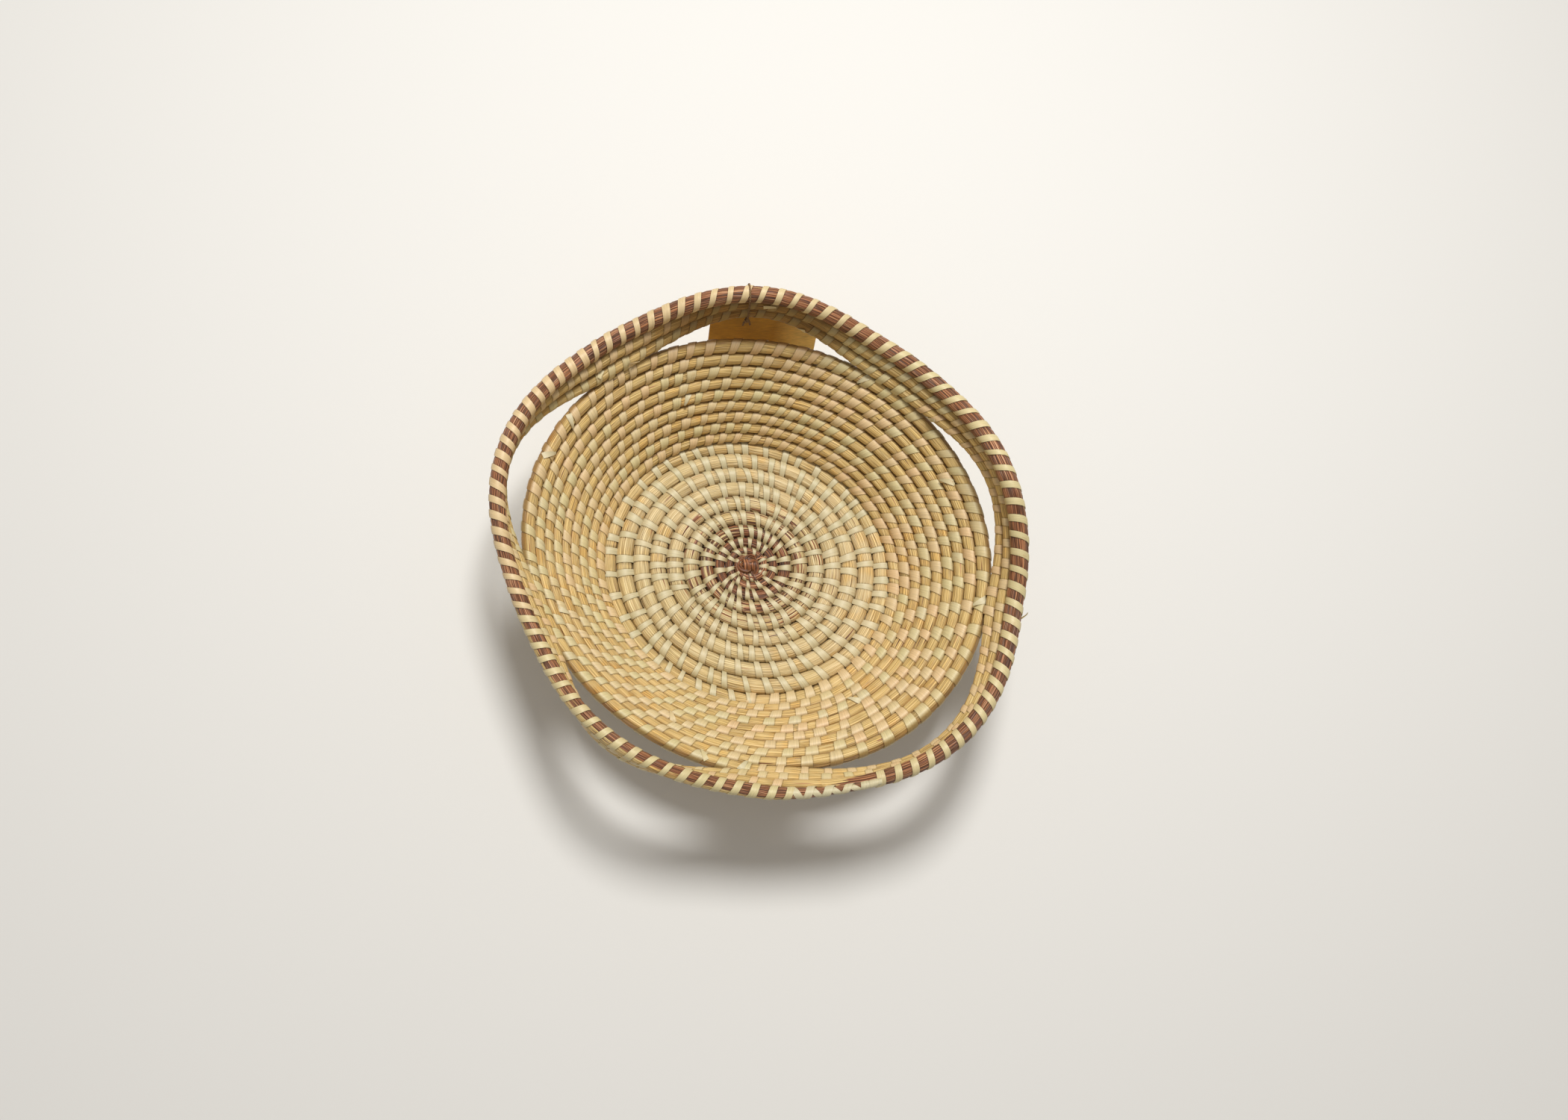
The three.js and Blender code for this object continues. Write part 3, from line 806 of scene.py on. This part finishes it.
def bundle_material(name, seed):
    """Grass, with pine needles among it where the pine attribute says so."""
    material, tree, shader = new_material(name)
    lines = add_node(tree, "ShaderNodeGroup", node_tree=STRANDS)
    lines.inputs["Fineness"].default_value = STRAND_FINENESS
    lines.inputs["Stretch"].default_value = STRAND_STRETCH
    lines.inputs["Seed"].default_value = seed
    shade, slit, height, kind = (lines.outputs[label] for label in ("Shade", "Slit", "Height", "Kind"))
    patch = noise(tree, stretched(tree, uv_place(tree), (0.85, 0.7, 1.0)), 1.0, 1.0)
    area = noise(tree, object_place(tree), 22.0, 1.0)
    grass = ramp(tree, shade, GRASS_STOPS)
    gold = tinted(tree, grass, GOLD_TINT)
    khaki = tinted(tree, grass, KHAKI_TINT)
    grass = blend_colour(tree, mapped(tree, patch, 0.52, 0.66, 0.0, 0.75), grass, gold)
    grass = blend_colour(tree, mapped(tree, area, 0.42, 0.62, 0.8, 0.0), grass, khaki)
    grass = tinted(tree, grass, blend_colour(tree, attribute(tree, "golden"), BASE_TINT, WALL_TINT))
    limit = mapped(tree, attribute(tree, "pine"), 0.0, 1.0, 0.22, 0.84)
    is_pine = mapped(tree, worked_out(tree, "SUBTRACT", limit, kind), -0.02, 0.02, 0.0, 1.0)
    colour = blend_colour(tree, is_pine, grass, ramp(tree, shade, PINE_STOPS))
    open_slits = worked_out(tree, "MAXIMUM", mapped(tree, patch, 0.38, 0.62, 0.06, 0.52), is_pine)
    # Painted shade: the slits between strands darkened, in patches on grass and everywhere on pine
    dark = blend_colour(tree, is_pine, GRASS_SLIT_SHADE, PINE_SLIT_SHADE)
    colour = blend_colour(tree, worked_out(tree, "MULTIPLY", slit, open_slits), colour, dark)
    # Painted shade: the grass is darkened in the crease beside each strip's edge, fading out 0.7 mm away
    colour = tinted(tree, colour, mapped(tree, attribute(tree, "edge"), 0.0, 0.7, 0.62, 1.0))
    colour = paint_hollow_shade(tree, colour)
    finish_surface(tree, shader, colour, height, strength=0.7, reach=0.4 * MM, roughness=0.52)
    return material


def strip_material(name):
    """Palmetto strip: veined along its length and stained here and there, with painted shade on one cut side
    and the underside.
    """
    material, tree, shader = new_material(name)
    uv = uv_place(tree)
    colour = ramp(tree, attribute(tree, "tone"), STRIP_STOPS)
    veins = noise(tree, stretched(tree, uv, (0.8, 30.0, 1.0)), 1.0, 2.0)
    colour = tinted(tree, colour, mapped(tree, veins, 0.3, 0.7, 0.86, 1.1))
    stains = noise(tree, stretched(tree, uv, (1.3, 3.0, 1.0)), 1.0, 3.0)
    colour = blend_colour(tree, mapped(tree, stains, 0.60, 0.72, 0.0, 0.35), colour, STRIP_STAIN)
    # Painted shade: one cut side and the underside of the strip darkened
    side = mapped(tree, split_axes(tree, uv)[1], 0.46, 0.50, 0.0, 0.65)
    colour = paint_hollow_shade(tree, blend_colour(tree, side, colour, STRIP_SIDE_SHADE))
    finish_surface(tree, shader, colour, veins, strength=0.35, reach=0.2 * MM, roughness=0.48)
    return material


def twine_material(name):
    material, tree, shader = new_material(name)
    fibres = noise(tree, stretched(tree, uv_place(tree), (6.0, 60.0, 1.0)), 1.0, 2.0)
    colour = ramp(tree, fibres, TWINE_STOPS)
    finish_surface(tree, shader, colour, fibres, strength=0.6, reach=0.1 * MM, roughness=0.85)
    return material


def card_material(name):
    """Brown card: short fibres pressed flat, with painted light making it paler towards one end."""
    material, tree, shader = new_material(name)
    spot = object_place(tree)
    # Painted light: the card grows paler along its width
    painted_light = mapped(tree, split_axes(tree, spot)[0], 12 * MM, 30 * MM, 0.0, 1.0)
    colour = blend_colour(tree, painted_light, CARD_BROWN, CARD_PAINTED_LIGHT)
    fibres = noise(tree, stretched(tree, spot, (260.0, 260.0, 1900.0)), 1.0, 3.0)
    colour = tinted(tree, colour, mapped(tree, fibres, 0.3, 0.7, 0.80, 1.16))
    clouds = noise(tree, spot, 70.0, 2.0)
    colour = tinted(tree, colour, mapped(tree, clouds, 0.3, 0.7, 0.86, 1.1))
    finish_surface(tree, shader, colour, fibres, strength=0.3, reach=0.1 * MM, roughness=0.8)
    return material


sweetgrass = bundle_material("grass_bundle", 3.0)
pine_needle = bundle_material("needle_bundle", 9.0)
palmetto = strip_material("palmetto_strip")
twine = twine_material("twine_plies")
card = card_material("brown_card")


# The rows and their stitches

FIRST_STITCH = -0.62
RIM_STEPS = 2000
base_turns = sew(FIRST_STITCH, BASE_TURNS, base_spacing, BASE_SLANTS, 0.0, 0.36)
wall_turns = sew(BASE_TURNS, WALL_TOP, wall_spacing, WALL_SLANTS, 0.7, 0.2)
gallery_turns = sew(WALL_TOP, RIM_TURN + 0.02, wall_spacing, WALL_SLANTS, 0.5, 0.2)
rim_grid = np.linspace(RIM_TURN + 0.068, COIL_END + 0.0135, RIM_STEPS)
rim_laid = np.cumsum(1 / (turns_long(1, rim_grid) * rim_spacing(rim_grid)))
rim_laid = (rim_laid - rim_laid[0]) / (rim_laid[-1] - rim_laid[0])
rim_turns = np.interp(np.linspace(0, 1, RIM_STITCH_COUNT), rim_laid, rim_grid)

base_stitches = Stitches(base_turns, BASE_SLANTS, BASE_STRIP, 0.0, 0.32, unruly=1.2)
wall_stitches = Stitches(wall_turns, WALL_SLANTS, wall_strip(wall_turns), 0.42, 1.0)
gallery_stitches = Stitches(gallery_turns, WALL_SLANTS, GALLERY_STRIP, 0.42, 1.0, 0.75)
rim_stitches = Stitches(rim_turns, RIM_SLANTS, RIM_STRIP, 0.0, 1.0, CREST)
rim_stitches.tones = mix(round_the_tray(RIM_TONES, azimuth_of(rim_turns)), rim_stitches.tones, 0.25)
base_stitches.widths *= np.clip(0.56 + base_turns / 10, 0.5, 1)
base_stitches.lifts += (CORE_THICK - START_WIDTH) * 0.6 * (base_turns < CORE_FROM)
every_stitch = all_of([base_stitches, wall_stitches, gallery_stitches, rim_stitches])

# Each row: the solid it replaces, its first and last turn, its material and its seed
ROWS = {
    "start_rows": ("start_coil", START_TURN, PINE_TURNS, pine_needle, 21),
    "base_rows": ("base_coil", PINE_TURNS, BASE_TURNS, sweetgrass, 34),
    "wall_rows": ("wall_coil", BASE_TURNS, WALL_TOP, sweetgrass, 55),
    "gallery_lower_row": ("gallery_coil_lower", WALL_TOP, WALL_TOP + 1, sweetgrass, 89),
    "gallery_upper_row": ("gallery_coil_upper", WALL_TOP + 1, RIM_START_TURN, sweetgrass, 144),
    "rim_row": ("rim_coil", RIM_START_TURN, TAIL_END_TURN, pine_needle, 233),
}
for name, (node, start, end, material, seed) in ROWS.items():
    add_row(name, node, start, end, every_stitch, material, seed)

add_stitches("base_stitches", base_stitches, dip=1.3 * MM, taper=0.15)
add_stitches("wall_stitches", wall_stitches, dip=1.3 * MM, taper=0.2)
binding = add_stitches("rim_binding_strip", rim_stitches, dip=0.4 * MM, taper=0.1)
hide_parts("rim_binding")

# The stitches that sew the gallery down where it meets the wall stand for the seats' lashings

JOIN_STITCHES = 3
JOIN_PITCH = 2 * RIM_STRIP
free = np.ones(len(gallery_turns), bool)
for number, (azimuth, lean) in enumerate(SEATS, start=1):
    middle = WALL_TOP + (azimuth - START_AZIMUTH) % 360 / 360
    half_span = float(turns_long(JOIN_PITCH * JOIN_STITCHES / 2, WALL_TOP)[0])
    middle = max(middle, WALL_TOP + half_span)
    seated = np.abs(gallery_turns - middle) < half_span
    free &= ~seated
    lashing = add_stitches(f"seat_stitches_{number}", gallery_stitches.only(seated), dip=2.2 * MM, taper=0.1)
    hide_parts(f"join_lashing_{number}")
add_stitches("gallery_stitches", gallery_stitches.only(free), dip=0.6 * MM, taper=0.1)


# The end of the coil: strip laced to and fro over the thinning tail, then wound close round its tip

LACING_START = COIL_END + 0.0193
LACING_STEP = 0.0055
LACING_LEGS = 7
LACING_SLANT = 5.2 * MM
LACING_WIDTH = 4.3 * MM
CLOSE_START = COIL_END + 0.0575
CLOSE_END = COIL_END + 0.0645
CLOSE_WRAPS = 4


def lacing():
    laced = LACING_START + LACING_STEP * np.arange(LACING_LEGS)
    wound = np.linspace(CLOSE_START, CLOSE_END, CLOSE_WRAPS)
    wraps = Stitches(np.concatenate([laced, wound]), RIM_SLANTS, RIM_STRIP, 0.1, 0.3, CREST)
    count = len(wraps.turns)
    wraps.slants = np.where(np.arange(count) % 2 == 0, LACING_SLANT, -LACING_SLANT)
    wraps.slants[LACING_LEGS:] = rng.uniform(-2.0, -1.2, CLOSE_WRAPS) * MM
    wraps.widths = LACING_WIDTH * rng.uniform(0.92, 1.05, count)
    wraps.lifts = np.where(np.arange(count) % 2 == 0, 0.0, 0.35) * MM
    return wraps


end_lacing = add_stitches("end_lacing", lacing(), dip=1.8 * MM, taper=0.0)
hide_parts("end_lashing")


# Ends of strip where one length stops and the next begins: turn, from and to round the row in degrees,
# length along the row, width at the root, width at the tip and how far the tip stands off, in mm.
# The last is a thin blade that sticks out from the rim

SPLICE_STEPS = 9
SPLICE_PLACES = np.array([0, 0.03, 0.43, 0.46, 1.0])
SPLICE_THICK = 0.28 * MM
SPLICES = [
    (19.498, 70, 52, -7.5, 1.8, 0.6, 0.6),
    (18.470, 135, 95, -4.0, 3.2, 2.6, 0.4),
    (18.592, 150, 95, 6.5, 3.2, 2.8, 0.6),
    (18.618, 20, 60, 4.5, 2.6, 1.6, 0.8),
    (17.406, 20, 118, 5.0, 3.6, 0.9, 0.6),
    (18.352, 160, 80, -4.4, 3.2, 1.6, 0.6),
    (17.690, 25, 110, -5.2, 3.4, 1.2, 0.5),
    (17.655, 20, 120, 4.5, 3.2, 1.0, 0.5),
    (16.300, 20, 115, 5.5, 3.6, 0.8, 0.6),
    (17.212, 15, 110, -4.6, 3.8, 1.2, 0.8),
    (17.985, 20, 120, 4.8, 3.2, 1.0, 0.7),
    (17.962, 30, 110, -4.2, 3.0, 1.2, 0.4),
    (15.800, 20, 110, 5.0, 3.4, 1.0, 0.5),
    (14.930, 20, 115, -5.0, 3.6, 1.0, 0.5),
    (13.560, 20, 110, 5.0, 3.0, 0.8, 0.4),
    (12.100, 25, 115, -4.6, 3.4, 1.0, 0.5),
    (20.197, -120, -58, 6.0, 1.1, 0.5, 2.4),
]


def add_splices():
    shares = np.linspace(0, 1, SPLICE_STEPS)
    sides = np.array([-1, -1, 1, 1])
    heights = STRIP_EDGE + SPLICE_THICK * np.array([0, 1, 1, 0])
    blades = []
    for turn, start, end, length, root, tip, lift in SPLICES:
        half_out, half_up = row_half(np.array([turn]))
        reach = float((half_out + half_up)[0]) / 2
        turned = math.radians(end - start) * reach
        run = math.hypot(length * MM, turned)
        half = MM * mix(root, tip, shares ** 1.5)[:, None] / 2 * sides
        angle = np.radians(mix(start, end, shares))[:, None] + half * length * MM / run / reach
        along = length * MM * shares[:, None] - half * turned / run
        height = heights + lift * MM * smooth(shares)[:, None] ** 2
        here = turn + along * turns_long(1, turn)
        blades.append(on_row(here, (half_out + height) * np.cos(angle), (half_up + height) * np.sin(angle)))
    points = np.stack(blades)
    points[..., 2] = np.maximum(points[..., 2], STRIP_CLEAR)
    along = np.broadcast_to(shares, points.shape[:2]) + rng.uniform(0, ANYWHERE, len(SPLICES))[:, None]
    tone = np.repeat(rng.uniform(0.1, 0.8, len(SPLICES)), SPLICE_STEPS * len(sides))
    piece = add_tubes("splice_ends", points, along, SPLICE_PLACES, {"tone": tone}, palmetto)
    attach(piece, "tray")


add_splices()


# The start: a tapering bundle wound in under a knot of pine needles

CORE_STEPS = 150
CORE_TO = -1.1
CORE_CORNERS = 24
KNOT_RING = 3.8 * MM
KNOT_SWING = 1.8 * MM
KNOT_LIFT = 0.216 * BASE_WIDTH
KNOT_STRAND = 3.1 * MM
KNOT_LOBES = 3
KNOT_WINDINGS = 2
KNOT_AZIMUTH = 60
KNOT_STEPS = 132
KNOT_NEEDLES = 10
NEEDLE_WIDTH = 0.95 * MM
NEEDLE_CORNERS = 6
NEEDLE_SHADES = 0.03
FREE_OF_STRIP = 9.0


def no_strip_near(rings):
    """The attributes of bare pine needles."""
    return {"edge": np.full(rings.shape[:-1], FREE_OF_STRIP), "pine": np.ones(rings.shape[:-1])}


def add_core():
    shares = np.linspace(0, 1, CORE_STEPS)
    turns = mix(CORE_FROM, CORE_TO, shares)
    radius = START_RADIUS + row_step(np.float64(1)) * turns
    path = place(azimuth_of(turns), radius, np.full(CORE_STEPS, CORE_THICK / 2 * 0.86)) + AXIS
    reach = CORE_THICK / 2 * mix(0.9, 1.0, smooth(shares * 5))
    rings = round_rings(path, False, reach, CORE_CORNERS)
    rings[..., 2] = np.maximum(rings[..., 2], ROW_CLEAR)
    around = np.linspace(0, math.pi * CORE_THICK / CM, CORE_CORNERS + 1)
    along = lengths_along(path)[None] / CM
    core = add_tubes("start_core", rings[None], along, around, no_strip_near(rings), pine_needle)
    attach(core, "tray")


add_core()


def add_needles(name, rings, along, closed=False):
    around = np.linspace(0, NEEDLE_SHADES, NEEDLE_CORNERS + 1)
    needles = add_tubes(name, rings, along, around, no_strip_near(rings), pine_needle, closed=closed)
    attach(needles, "tray")
    return needles


def knot_course(shares):
    lobe = KNOT_LOBES * 2 * math.pi * shares
    radius = KNOT_RING + KNOT_SWING * np.cos(lobe)
    height = KNOT_LIFT * np.sin(lobe) + KNOT_LIFT + KNOT_STRAND / 2
    angle = KNOT_WINDINGS * 2 * math.pi * shares + math.radians(KNOT_AZIMUTH)
    return np.stack([radius * np.cos(angle), radius * np.sin(angle), height], axis=-1) + AXIS


def add_knot():
    shares = np.arange(KNOT_STEPS) / KNOT_STEPS
    path = knot_course(shares)
    needles = []
    for needle in range(KNOT_NEEDLES):
        angle = 2 * math.pi * (needle / KNOT_NEEDLES + shares) + 0.3 * rng.uniform(-1, 1)
        loose = 1 + 0.22 * np.sin(2 * math.pi * (rng.integers(2, 6) * shares + rng.uniform()))
        reach = (KNOT_STRAND - NEEDLE_WIDTH) / 2 * loose
        needle_path = offset_path(path, True, reach, angle)
        needles.append(round_rings(needle_path, True, NEEDLE_WIDTH / 2, NEEDLE_CORNERS))
    rings = np.stack(needles)
    rings[..., 2] = np.maximum(rings[..., 2], ROW_CLEAR)
    along = lengths_along(path) / CM + rng.uniform(0, 40, KNOT_NEEDLES)[:, None]
    knot = add_needles("needle_knot", rings, along, closed=True)
    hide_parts("start_knot")


add_knot()

# Bundles drawn over the knot: azimuths of both ends, their reach and the height between in mm, and
# the number of needles

OVER_BUNDLES = [
    (112, 262, 5.6, 8.2, 7),
    (58, 300, 5.2, 7.4, 5),
    (168, 22, 5.8, 7.7, 6),
]
OVER_SHOULDER = 1.6 * MM
OVER_STEPS = 22


def add_over_bundles():
    needles, along = [], []
    for start, end, reach, top, count in OVER_BUNDLES:
        ends = np.radians([start, end])
        feet = np.stack([np.cos(ends), np.sin(ends), np.full(2, 0.38)], axis=-1) * reach * MM
        crown = np.array([*(feet[0, :2] + feet[1, :2]) * 0.42, top * MM])
        side = np.cross(feet[1] - feet[0], UP)
        side = side / np.linalg.norm(side)
        for needle in range(count):
            apart = side * NEEDLE_WIDTH * 0.72 * (needle - (count - 1) / 2)
            sag = UP * (0.5 * rng.uniform(-1, 0.6) - 0.12 * abs(needle - (count - 1) / 2) ** 1.6) * MM
            rise = UP * OVER_SHOULDER + sag
            path = rounded(AXIS + np.array([
                feet[0] + apart * 0.5,
                mix(feet[0], crown, 0.55) + apart + rise,
                crown + apart + sag,
                mix(feet[1], crown, 0.55) + apart + rise,
                feet[1] + apart * 0.5,
            ]), OVER_STEPS)
            needles.append(round_rings(path, False, NEEDLE_WIDTH / 2, NEEDLE_CORNERS))
            along.append(lengths_along(path) / CM + 7 * needle)
    add_needles("knot_bundles", np.stack(needles), np.stack(along))


add_over_bundles()

# Loose needles: azimuth, and reach in mm

LOOSE_NEEDLES = [(38, 10.5), (47, 12.0), (240, 9.0), (262, 10.5), (285, 9.5), (300, 11.0), (175, 9.0)]
LOOSE_STEPS = 14


def add_loose_needles():
    """Ends of needles that leave the knot and lie on the first row."""
    needles, along = [], []
    shares = np.linspace(0, 1, LOOSE_STEPS)
    for azimuth, reach in LOOSE_NEEDLES:
        turned = azimuth + 24 * shares * rng.uniform(-1, 1)
        radius = mix(2.0, reach, shares) * MM
        height = mix(KNOT_STRAND * 1.1, BASE_WIDTH * 0.56, smooth(shares)) - 0.6 * MM * shares ** 3
        angle = np.radians(turned)
        path = np.stack([radius * np.cos(angle), radius * np.sin(angle), height], axis=-1) + AXIS
        thick = NEEDLE_WIDTH / 2 * mix(1, 0.55, shares ** 2)
        needles.append(round_rings(path, False, thick, NEEDLE_CORNERS))
        along.append(lengths_along(path) / CM + azimuth)
    add_needles("loose_needles", np.stack(needles), np.stack(along))


add_loose_needles()


# The twine: two plies twisted, over the rim and down both sides of the gallery to the card

TWINE_AZIMUTH = 93
TWINE_WIDTH = 1.2 * MM
TWINE_SLACK = 3.7 * MM
TWINE_DROP = 4.6 * MM
TWINE_TWIST = 2.6 * MM
TWINE_STEPS = 300
PLY_WIDTH = 0.72 * MM
TWINE_REACH = GALLERY_WIDTH / 2 + SEWN_GAP + TWINE_WIDTH / 2
TWINE_ROUND_RIM = TWINE_REACH - 0.1 * MM
SLANTED = math.sqrt(0.5)
OUTWARD = np.array([math.cos(math.radians(TWINE_AZIMUTH)), math.sin(math.radians(TWINE_AZIMUTH)), 0.0])
TWINE_SHARE = (TWINE_AZIMUTH - START_AZIMUTH) % 360 / 360


def gallery_point(row, out, up):
    radius, height = row_centre(np.array([WALL_TOP + row + TWINE_SHARE]))
    return place(TWINE_AZIMUTH, radius, height)[0] + AXIS + OUTWARD * out + UP * up


def twine_route():
    """The route's points, from inside the gallery under its lowest row, over the rim and back up inside."""
    rim = GALLERY_TURNS - 1
    reach, wide = TWINE_REACH, TWINE_ROUND_RIM
    slant = reach * SLANTED
    middle = gallery_point(rim, reach - TWINE_SLACK, 0)
    middle[2] = gallery_point(0, 0, -reach - TWINE_DROP)[2]
    outside = gallery_point(rim, reach, 0)
    outside[2] = gallery_point(0, 0, 0)[2]
    return np.array([
        gallery_point(0, -slant, -slant),
        gallery_point(0, -reach, 0),
        gallery_point(rim, -wide, 0),
        gallery_point(rim, -wide * SLANTED, wide * SLANTED),
        gallery_point(rim, 0, wide),
        gallery_point(rim, wide * SLANTED, wide * SLANTED),
        gallery_point(rim, wide, 0),
        outside,
        middle + OUTWARD * TWINE_SLACK + UP * TWINE_DROP / 2,
        middle + OUTWARD * TWINE_SLACK / 2,
        middle,
        middle - OUTWARD * TWINE_SLACK / 2,
        middle - OUTWARD * TWINE_SLACK + UP * TWINE_DROP / 2,
        gallery_point(0, 0, -reach),
        gallery_point(0, -slant, -slant) - UP * TWINE_WIDTH * 1.1,
    ])


def twisted(path):
    along = lengths_along(path)
    plies = []
    for ply in range(2):
        angle = 2 * math.pi * along / TWINE_TWIST + math.pi * ply
        reach = np.full(len(path), (TWINE_WIDTH - PLY_WIDTH) / 2)
        plies.append(round_rings(offset_path(path, False, reach, angle), False, PLY_WIDTH / 2, 8))
    return np.stack(plies), np.stack([along, along]) / CM


twine_path = rounded(twine_route(), TWINE_STEPS)
twine_rings, twine_along = twisted(twine_path)
ply_around = np.linspace(0, math.pi * PLY_WIDTH / CM, 9)
tag_twine = add_tubes("tag_twine", twine_rings, twine_along, ply_around, {}, twine)
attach(tag_twine, "tray")
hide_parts("tag_string")

# The twine's knot: two and a half turns round both ends, which stand out below

TWINE_KNOT_TURNS = 2.5
TWINE_KNOT_REACH = 0.8 * MM
TWINE_KNOT_HEIGHT = 2.2 * MM
TWINE_KNOT_STEPS = 46
TWINE_END = 4.2 * MM
TWINE_END_STEPS = 26


def add_twine_knot():
    heart = twine_path[0] - UP * TWINE_WIDTH * 0.4
    side = np.cross(UP, OUTWARD)
    shares = np.linspace(0, 1, TWINE_KNOT_STEPS)
    angle = 2 * math.pi * TWINE_KNOT_TURNS * shares
    wound = heart + TWINE_KNOT_REACH * (np.cos(angle)[:, None] * side + np.sin(angle)[:, None] * OUTWARD)
    wound = wound + UP * ((shares - 0.5) * TWINE_KNOT_HEIGHT)[:, None]
    left = rounded(np.array([
        wound[0],
        wound[0] + side * 0.5 * MM - UP * 1.5 * MM,
        wound[0] + side * 0.9 * MM - OUTWARD * 0.6 * MM - UP * TWINE_END,
    ]), TWINE_END_STEPS)
    right = rounded(np.array([
        wound[-1],
        wound[-1] - side * 0.6 * MM - UP * 1.6 * MM,
        wound[-1] - side * 1.4 * MM - OUTWARD * MM - UP * 1.2 * TWINE_END,
    ]), TWINE_END_STEPS)
    for label, path in (("twine_knot", wound), ("twine_end_left", left), ("twine_end_right", right)):
        rings, along = twisted(path)
        piece = add_tubes(label, rings, along, ply_around, {}, twine)
        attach(piece, "tray")


add_twine_knot()


# The card: the tag's own shape, a little bent

CARD_BEND = 1.5 * MM
CARD_CURL = 7.0 * MM
CARD_BENDS = 14
CARD_LEFT = 19 * MM
CARD_WIDTH = 64 * MM
CARD_HEIGHT = 54 * MM
WELD_REACH = 0.00001


def add_card():
    node = bpy.data.objects["hang_tag"]
    mesh = node.data.copy()
    mesh.name = "blank_card"
    mesh.transform(node.matrix_world)
    piece = bpy.data.objects.new("blank_card", mesh)
    bpy.context.scene.collection.objects.link(piece)
    bpy.ops.object.select_all(action="DESELECT")
    piece.select_set(True)
    bpy.context.view_layer.objects.active = piece
    bpy.ops.object.mode_set(mode="EDIT")
    bpy.ops.mesh.select_all(action="SELECT")
    bpy.ops.mesh.remove_doubles(threshold=WELD_REACH)
    side = np.cross(UP, OUTWARD)
    hole = twine_path[:, 2].argmin()
    for cut in range(1, CARD_BENDS):
        spot = twine_path[hole] + side * (CARD_LEFT - CARD_WIDTH * cut / CARD_BENDS)
        bpy.ops.mesh.select_all(action="SELECT")
        bpy.ops.mesh.bisect(plane_co=spot, plane_no=side)
        bpy.ops.mesh.select_all(action="SELECT")
        level = twine_path[hole] - UP * CARD_HEIGHT * cut / CARD_BENDS
        bpy.ops.mesh.bisect(plane_co=level, plane_no=UP)
    bpy.ops.object.mode_set(mode="OBJECT")
    for vertex in mesh.vertices:
        from_hole = np.array(vertex.co) - twine_path[hole]
        away = float(np.dot(from_hole, side)) / CARD_WIDTH
        down = max(0.0, -float(from_hole[2])) / CARD_HEIGHT
        vertex.co += Vector(OUTWARD * (CARD_BEND * away * away - CARD_CURL * down * down * (0.5 - away)))
    mesh.materials.clear()
    mesh.materials.append(card)
    bpy.ops.object.shade_smooth_by_angle(angle=math.radians(CREASE))
    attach(piece, "tag")
    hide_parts("hang_tag")


add_card()


# The studio: floor, lamps, world and the camera at the photograph's angle

FLOOR_SIZE = 6.0
FLOOR_COLOUR = (0.80, 0.80, 0.79, 1)
FLOOR_ROUGHNESS = 0.9
WORLD_COLOUR = (1.0, 0.93, 0.84, 1)
WORLD_STRENGTH = 0.29

bpy.ops.object.select_all(action="DESELECT")
bpy.ops.mesh.primitive_plane_add(size=FLOOR_SIZE, location=(0, 0, 0))
floor = bpy.context.object
floor.name = "studio_floor"
floor_material, floor_tree, floor_shader = new_material("studio_floor")
floor_shader.inputs["Base Color"].default_value = FLOOR_COLOUR
floor_shader.inputs["Roughness"].default_value = FLOOR_ROUGHNESS
floor.data.materials.append(floor_material)

CAMERA_TILT = 13
TILT_AXIS = (0.9272, -0.3746, 0)
CAMERA_DISTANCE = 0.7152
PHOTO_WIDTH = 2100
FOCAL_PIXELS = 1600
KNOT_LEFT_OF_MIDDLE = 47
KNOT_BELOW_MIDDLE = 7
SENSOR_WIDTH = 36


def aim_lamp(name, azimuth, elevation, distance, size, watts, colour):
    lamp = bpy.data.lights.new(name, "AREA")
    lamp.shape = "DISK"
    lamp.size = size
    lamp.energy = watts
    lamp.color = colour
    holder = bpy.data.objects.new(name, lamp)
    bpy.context.scene.collection.objects.link(holder)
    azimuth, elevation = math.radians(azimuth), math.radians(elevation)
    flat = distance * math.cos(elevation)
    spot = Vector((flat * math.cos(azimuth), flat * math.sin(azimuth), distance * math.sin(elevation)))
    holder.location = spot
    holder.rotation_euler = (-spot).to_track_quat("-Z", "Y").to_euler()


aim_lamp("key_lamp", 84, 68, 1.5, 0.4, 19, (1.0, 0.98, 0.94))
aim_lamp("fill_lamp", 250, 70, 1.8, 1.6, 1.6, (1.0, 0.97, 0.93))

world = bpy.data.worlds.new("studio")
world.use_nodes = True
background = world.node_tree.nodes["Background"]
background.inputs["Color"].default_value = WORLD_COLOUR
background.inputs["Strength"].default_value = WORLD_STRENGTH
bpy.context.scene.world = world

camera_data = bpy.data.cameras.new("camera")
camera_data.sensor_width = SENSOR_WIDTH
camera_data.lens = SENSOR_WIDTH * FOCAL_PIXELS / PHOTO_WIDTH
camera_data.shift_x = KNOT_LEFT_OF_MIDDLE / PHOTO_WIDTH
camera_data.shift_y = KNOT_BELOW_MIDDLE / PHOTO_WIDTH
camera = bpy.data.objects.new("camera", camera_data)
bpy.context.scene.collection.objects.link(camera)
turned = Matrix.Rotation(math.radians(CAMERA_TILT), 4, Vector(TILT_AXIS))
target = Vector((AXIS[0], AXIS[1], BASE_WIDTH / 2 * math.cos(math.pi / 6)))
camera.matrix_world = Matrix.Translation(target) @ turned @ Matrix.Translation((0, 0, CAMERA_DISTANCE))
bpy.context.scene.camera = camera
bpy.context.scene.view_settings.view_transform = "Standard"
